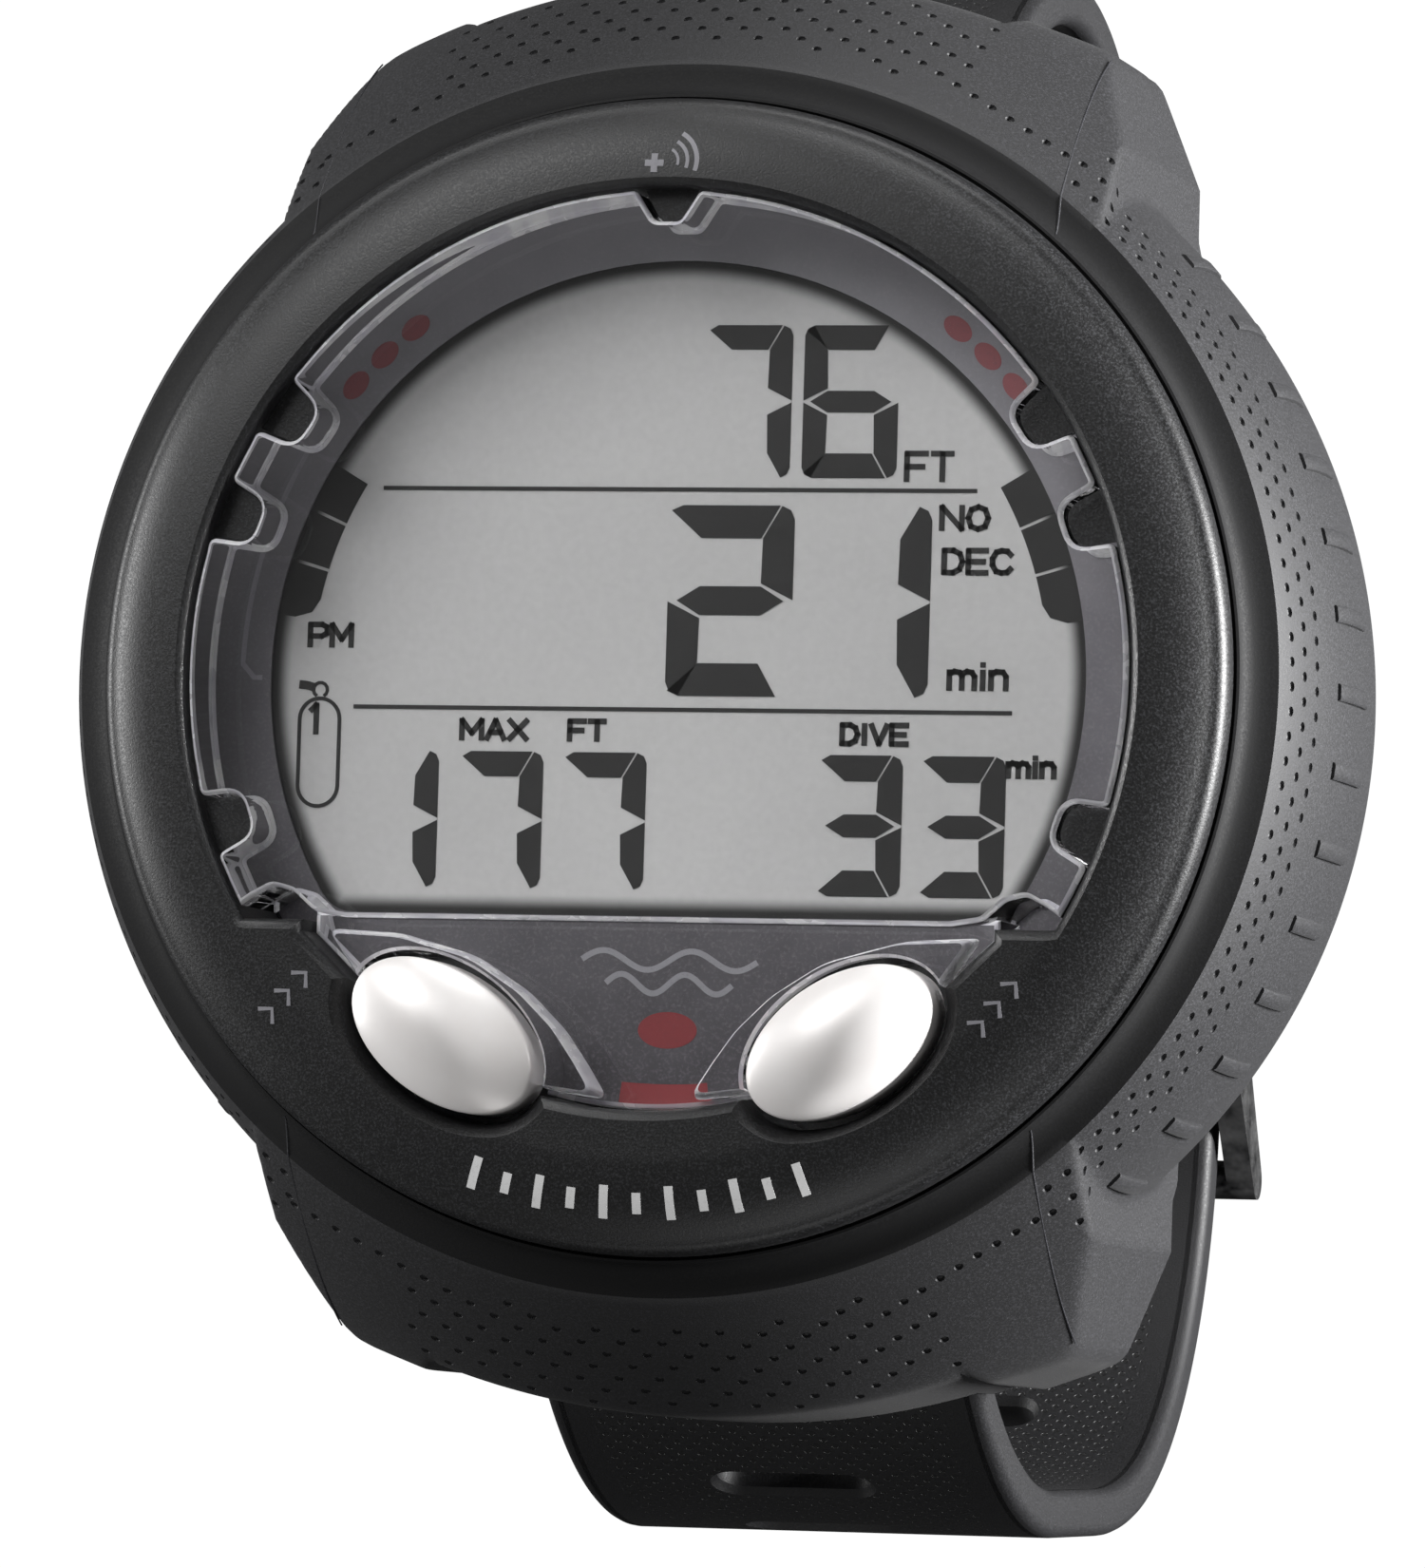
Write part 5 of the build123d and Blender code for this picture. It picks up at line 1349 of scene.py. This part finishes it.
@dataclass
class Display:
    """Segments and legends on the display glass.

    Each digit has a lower left corner, a width, a height and a stroke. Each legend has a lower left corner,
    a height and a width. bars holds the angles between the bars of each bar graph.
    """

    ink_z: float = 24.91
    ink_t: float = 0.03
    digits: tuple = (("7", 0.95, 11.7, 5.05, 8.8, 1.42), ("6", 6.7, 11.7, 5.6, 8.8, 1.42),
                     ("2", -1.0, -0.9, 7.4, 11.0, 1.9), ("1", 7.0, -0.9, 7.5, 11.0, 1.9),
                     ("1", -19.3, -12.1, 4.95, 7.9, 1.45), ("7", -13.05, -12.1, 4.95, 7.9, 1.45),
                     ("7", -6.9, -12.1, 4.95, 7.9, 1.45), ("3", 8.3, -12.3, 4.9, 8.1, 1.5),
                     ("3", 14.3, -12.3, 4.95, 8.1, 1.5))
    legends: tuple = (("FT", 12.75, 11.45, 1.85, 3.0), ("NO", 14.9, 8.65, 1.6, 3.05),
                      ("DEC", 15.1, 6.15, 1.6, 4.25), ("min", 15.6, -0.5, 1.75, 3.65),
                      ("PM", -22.5, 1.65, 1.55, 2.8), ("MAX", -13.2, -3.65, 1.4, 4.2),
                      ("FT", -6.75, -3.65, 1.4, 2.4), ("DIVE", 9.4, -3.7, 1.4, 4.15),
                      ("min", 19.2, -5.5, 1.45, 3.0), ("1", -22.3, -3.4, 1.95, 0.85))
    dividers: tuple = ((11.0, -18.2, 17.1), (-1.7, -19.6, 19.5))
    divider_width: float = 0.24
    tank_x: float = -21.62
    tank_y: tuple[float, float] = (-6.3, -2.45)
    tank_r: float = 1.2
    shift_x: float = 0.35
    letter_stroke: float = 0.33
    letter_gap: float = 0.32
    bars: tuple = (149.0, 156.2, 163.6, 171.6)
    bar_gap: float = 0.22
    bar_r: tuple[float, float] = (21.9, 24.9)

    def ink(self, outline: np.ndarray) -> bpy.types.Object:
        """One flat dark shape on the glass."""
        return plate(outline, self.ink_z, self.ink_z + self.ink_t)

    def line(self, path: np.ndarray, width: float, closed: bool = False) -> bpy.types.Object:
        """One dark line on the glass."""
        return stroke(path, width, self.flat, self.ink_t, closed)

    def flat(self, where: np.ndarray) -> np.ndarray:
        """Height of the glass's face: the same everywhere."""
        return np.full(len(where), self.ink_z)

    def legend(self, text: str, x: float, y: float, tall: float, wide: float) -> bpy.types.Object:
        """One short legend in plain stroke letters, with its lower left corner at x, y.

        Letters share the width by their own shares. Each stroke is a narrow plate a little longer than
        its run.
        """
        shares = np.array([LETTER_WIDTH.get(letter, 1.0) for letter in text])
        gaps = self.letter_gap * (len(text) - 1)
        unit = (wide - self.letter_stroke) / (shares.sum() + gaps)
        size_y = tall - self.letter_stroke
        left, low = x + self.letter_stroke / 2, y + self.letter_stroke / 2
        made = []
        for letter, share in zip(text, shares):
            for run in LETTERS[letter]:
                points = np.array(run, float) * (share * unit, size_y) + (left, low)
                for start, end in zip(points[:-1], points[1:]):
                    way = (end - start) / np.linalg.norm(end - start) * self.letter_stroke / 2
                    side = np.array([-way[1], way[0]])
                    first, last = start - 0.7 * way, end + 0.7 * way
                    made.append(self.ink(np.array([first - side, last - side, last + side, first + side])))
            left += (share + self.letter_gap) * unit
        return join(made, "legend")

    def bar_graph(self, side: int) -> list[bpy.types.Object]:
        """Three curved bars at one edge, with thin gaps; the last one's inner corner is cut off."""
        made = []
        inner, outer = self.bar_r
        for k in range(3):
            first, last = self.bars[k] + self.bar_gap, self.bars[k + 1] - self.bar_gap
            outline = [arc((0, 0), outer, first, last, 12)]
            if k < 2:
                outline.append(arc((0, 0), inner, last, first, 12))
            else:
                outline += [arc((0, 0), (inner + outer) / 2 - 0.2, last, last, 1),
                            arc((0, 0), inner + 0.35, last - 1.1, last - 1.1, 1),
                            arc((0, 0), inner, last - 3.2, first, 10)]
            made.append(self.ink(np.vstack(outline) * (side, 1)))
        return made

    def build(self) -> None:
        """Digits, divider lines, bar graphs, tank symbol and legends, joined into one dark piece."""
        made = []
        for digit, x, y, w, h, t in self.digits:
            for key in DIGITS[digit]:
                made.append(self.ink(segment_outline(Segment(key), w, h, t) + (x, y)))
        for y, left, right in self.dividers:
            made.append(self.line(np.array([(left, y), (0, y), (right, y)]), self.divider_width))
        x, (low, high), radius = self.tank_x, self.tank_y, self.tank_r
        tank = np.vstack([arc((x, high), radius, 0, 180, 16), arc((x, low), radius, 180, 360, 16)])
        valve = arc((x, -0.75), 0.42, -60, 240, 12)
        knob = np.array([(-22.9, -0.45), (-22.4, -0.5), (-22.05, -0.6)])
        made += [self.line(tank, 0.22, True), self.line(valve, 0.2), self.line(knob, 0.5)]
        made += [self.legend(*row) for row in self.legends]
        moved = join(made, "moved")
        moved.data.transform(Matrix.Translation((self.shift_x * MM, 0, 0)))
        whole = join([moved, *self.bar_graph(1), *self.bar_graph(-1)], "display_segments")
        settle(whole, DISPLAY_INK, CASE)


# ---- printed marks -----------------------------------------------------------------------------------
@dataclass
class Prints:
    """Generic printed marks on the mask and the bezel. None of them is lettering.

    chevron_slope is the bearing of the row of chevrons beside each key, left then right.
    """

    mask_z: float = 25.252
    lift: float = 0.02
    dot_angles: tuple = (128.5, 133.8, 139.2)
    dot_r: float = 25.9
    tick_r: float = 30.25
    ticks: int = 11
    tick_span: tuple[float, float] = (-108.5, -71.5)
    tick_halves: tuple[float, float] = (0.95, 0.6)
    chevron_place: tuple[float, float] = (20.9, -18.5)
    chevron_slope: tuple[float, float] = (46.0, 50.0)
    chevron_size: float = 0.62
    chevron_pitch: float = 1.45

    def mask(self, where: np.ndarray) -> np.ndarray:
        """Height of the mask's face."""
        return np.full(len(where), self.mask_z)

    def mark(self, outline: np.ndarray) -> bpy.types.Object:
        """One flat mark on the mask."""
        return plate(outline, self.mask_z, self.mask_z + self.lift)

    def ring(self, where: np.ndarray) -> np.ndarray:
        """Height of the bezel's face under each point."""
        return BEZEL.slope(np.hypot(*where.T))

    def on_mask(self) -> None:
        """Warning dots, a thin guide arc, two waves, and a red oval and crescent below the display."""
        dots = []
        for angle in self.dot_angles:
            for bearing in (angle, 180 - angle):
                centre = arc((0, 0), self.dot_r, bearing, bearing, 1)[0]
                dots.append(self.mark(ellipse(centre, 0.95, 0.62, bearing + 90, 24)))
        settle(join(dots, "mask_warning_dots"), FADED_RED, CASE)
        guide = np.vstack([arc((0, 0), 25.9, 150, 178.5, 40), [(-25.2, -0.1), (-24.7, -0.1)]])
        waves = []
        x = np.linspace(-5.2, 5.2, 48)
        rise = 0.55 * np.sin(x * 1.2)
        for k, share in enumerate((1.0, 0.72)):
            path = np.stack([x * share, -16.1 - 1.35 * k + rise], 1)
            waves.append(stroke(path, 0.34, self.mask, self.lift))
        lines = join([stroke(guide, 0.3, self.mask, self.lift), *waves], "mask_guide_lines")
        settle(lines, GREY_INK, CASE)
        oval = ellipse((0.0, -20.1), 1.75, 1.05, 0, 48)
        crescent = np.vstack([arc((0, 0), 24.5, -96.5, -83.5, 24), arc((0, 10), 33.2, -85.5, -94.5, 24)])
        settle(join([self.mark(oval), self.mark(crescent)], "mask_red_marks"), RED_INK, CASE)

    def on_bezel(self) -> None:
        """A row of plain ticks at 6 o'clock, a signal symbol at 12 o'clock and a pointer beside each key."""
        white, grey = [], []
        for k, angle in enumerate(np.linspace(*self.tick_span, self.ticks)):
            half = self.tick_halves[k % 2]
            radii = np.linspace(self.tick_r - half, self.tick_r + half, 6)
            run = np.array([arc((0, 0), radius, angle, angle, 1)[0] for radius in radii])
            white.append(stroke(run, 0.52, self.ring, self.lift))
        for k in range(3):
            signal = arc((-0.1, 29.3), 0.75 + 0.55 * k, -18, 62, 14)
            grey.append(stroke(signal, 0.16 + 0.05 * k, self.ring, self.lift))
        for turn in (0, 90):
            tip = 0.55 * np.array([np.cos(np.radians(turn)), np.sin(np.radians(turn))])
            arm = np.array([-tip, (0, 0), tip]) + (-0.75, 29.2)
            grey.append(stroke(arm, 0.38, self.ring, self.lift * (1 + turn / 180)))
        for side, slope in zip((-1, 1), np.radians(self.chevron_slope)):
            way = np.array([np.cos(slope), np.sin(slope)])
            tip = self.chevron_size * way
            wing = self.chevron_size * np.array([-np.sin(slope), np.cos(slope)])
            for k in (-1, 0, 1):
                centre = np.array(self.chevron_place) * (side, 1) + self.chevron_pitch * k * way
                chevron = np.array([centre - tip + wing, centre, centre - tip - wing])
                grey.append(stroke(chevron, 0.24, self.ring, self.lift))
        settle(join(white, "bezel_ticks"), WHITE_INK, CASE)
        settle(join(grey, "bezel_symbols"), GREY_INK, CASE)


# ---- studio ------------------------------------------------------------------------------------------
@dataclass
class Studio:
    """Camera, lamps, pale floor and background. Each lamp has a place, a size and a power in watts."""

    distance: float = 650.0
    yaw: float = 15.0
    pitch: float = -4.5
    roll: float = 1.732
    aim: tuple[float, float, float] = (3.0003, -6.1236, 30.0)
    focal: float = 260.945
    surround: float = 0.14
    floor_half: float = 3.0
    lamps: tuple = (
        ("key", (-330, 420, 520), (380, 380), 2.8),
        ("left", (-640, 60, 60), (300, 120), 3.0),
        ("right", (640, 60, 0), (300, 90), 18.0),
        ("top", (60, 640, 160), (340, 200), 1.8),
        ("low", (40, -560, 330), (260, 260), 0.5),
    )

    def camera(self) -> None:
        """Camera on a sphere round the bezel's centre, aimed a little off it and rolled."""
        y, p = np.radians(self.yaw), np.radians(self.pitch)
        away = np.array([np.sin(y) * np.cos(p), np.sin(p), np.cos(y) * np.cos(p)])
        eye = np.array([0.0, 0.0, 30.0]) + self.distance * away
        look = np.array(self.aim) - eye
        look /= np.linalg.norm(look)
        right = np.cross(look, (0.0, 1.0, 0.0))
        right /= np.linalg.norm(right)
        up = np.cross(right, look)
        a = np.radians(self.roll)
        right, up = np.cos(a) * right + np.sin(a) * up, np.cos(a) * up - np.sin(a) * right
        data = bpy.data.cameras.new("camera")
        data.lens, data.sensor_width = self.focal, 36.0
        data.clip_start, data.clip_end = 0.01, 20.0
        made = bpy.data.objects.new("camera", data)
        rows = [[right[k], up[k], -look[k], eye[k] * MM] for k in range(3)]
        made.matrix_world = Matrix([*rows, [0, 0, 0, 1]])
        bpy.context.scene.collection.objects.link(made)
        bpy.context.scene.camera = made

    def light(self) -> None:
        """Large soft lamps aimed at the bezel, a white surround, and an even white floor."""
        for name, place, size, power in self.lamps:
            data = bpy.data.lights.new(name, "AREA")
            data.shape, data.energy = "RECTANGLE", power
            data.size, data.size_y = size[0] * MM, size[1] * MM
            made = bpy.data.objects.new(name, data)
            made.location = Vector(place) * MM
            made.rotation_mode = "QUATERNION"
            made.rotation_quaternion = (Vector((0, 0, 0.02)) - made.location).to_track_quat("-Z", "Y")
            bpy.context.scene.collection.objects.link(made)
        world = bpy.data.worlds.new("surround")
        world.use_nodes = True
        sky = world.node_tree.nodes["Background"]
        sky.inputs["Color"].default_value = (1, 1, 1, 1)
        sky.inputs["Strength"].default_value = self.surround
        bpy.context.scene.world = world
        low = CAD_BOX[0].z / MM - 0.05
        corners = np.array([(-1, -1, 0), (1, -1, 0), (1, 1, 0), (-1, 1, 0)]) * self.floor_half / MM
        floor = make_mesh("floor", corners + (0, 0, low), [[0, 1, 2, 3]])
        floor.data.materials.append(self.floor_paint())
        bpy.context.scene.view_settings.view_transform = "Standard"

    @staticmethod
    def floor_paint() -> bpy.types.Material:
        """White paper: bright to the eye, but it throws little light back up at the watch."""
        paint = MouldedPolymer("paper_white", "2a2a2a", "303030", 20.0, 0.5, (0.8, 0.9), 0.0).material()
        tree = paint.node_tree
        shader = next(n for n in tree.nodes if n.type == "BSDF_PRINCIPLED")
        seen = add_node(tree, "ShaderNodeLightPath").outputs["Is Camera Ray"]
        shader.inputs["Emission Color"].default_value = (1, 1, 1, 1)
        tree.links.new(seen, shader.inputs["Emission Strength"])
        return paint


def dress_nodes() -> None:
    """Give every CAD node the finish of its material slot."""
    slots = {row["node"]: row["material_slot"] for row in frame["record"]["subparts"]}
    for name, node in frame["nodes"].items():
        node.data.materials.clear()
        node.data.materials.append(SLOT_FINISH[slots[name]].material())
        log.info("%s: %s", name, slots[name])


def main() -> None:
    """Build every sub-assembly in order."""
    studio = Studio()
    studio.camera()
    dress_nodes()
    Boot().build()
    TAIL.finish()
    BUCKLE_HALF.finish()
    BEZEL.build()
    Lens().build()
    Buttons().build()
    Display().build()
    Prints().on_mask()
    Prints().on_bezel()
    studio.light()


if __name__ == "__main__":
    main()
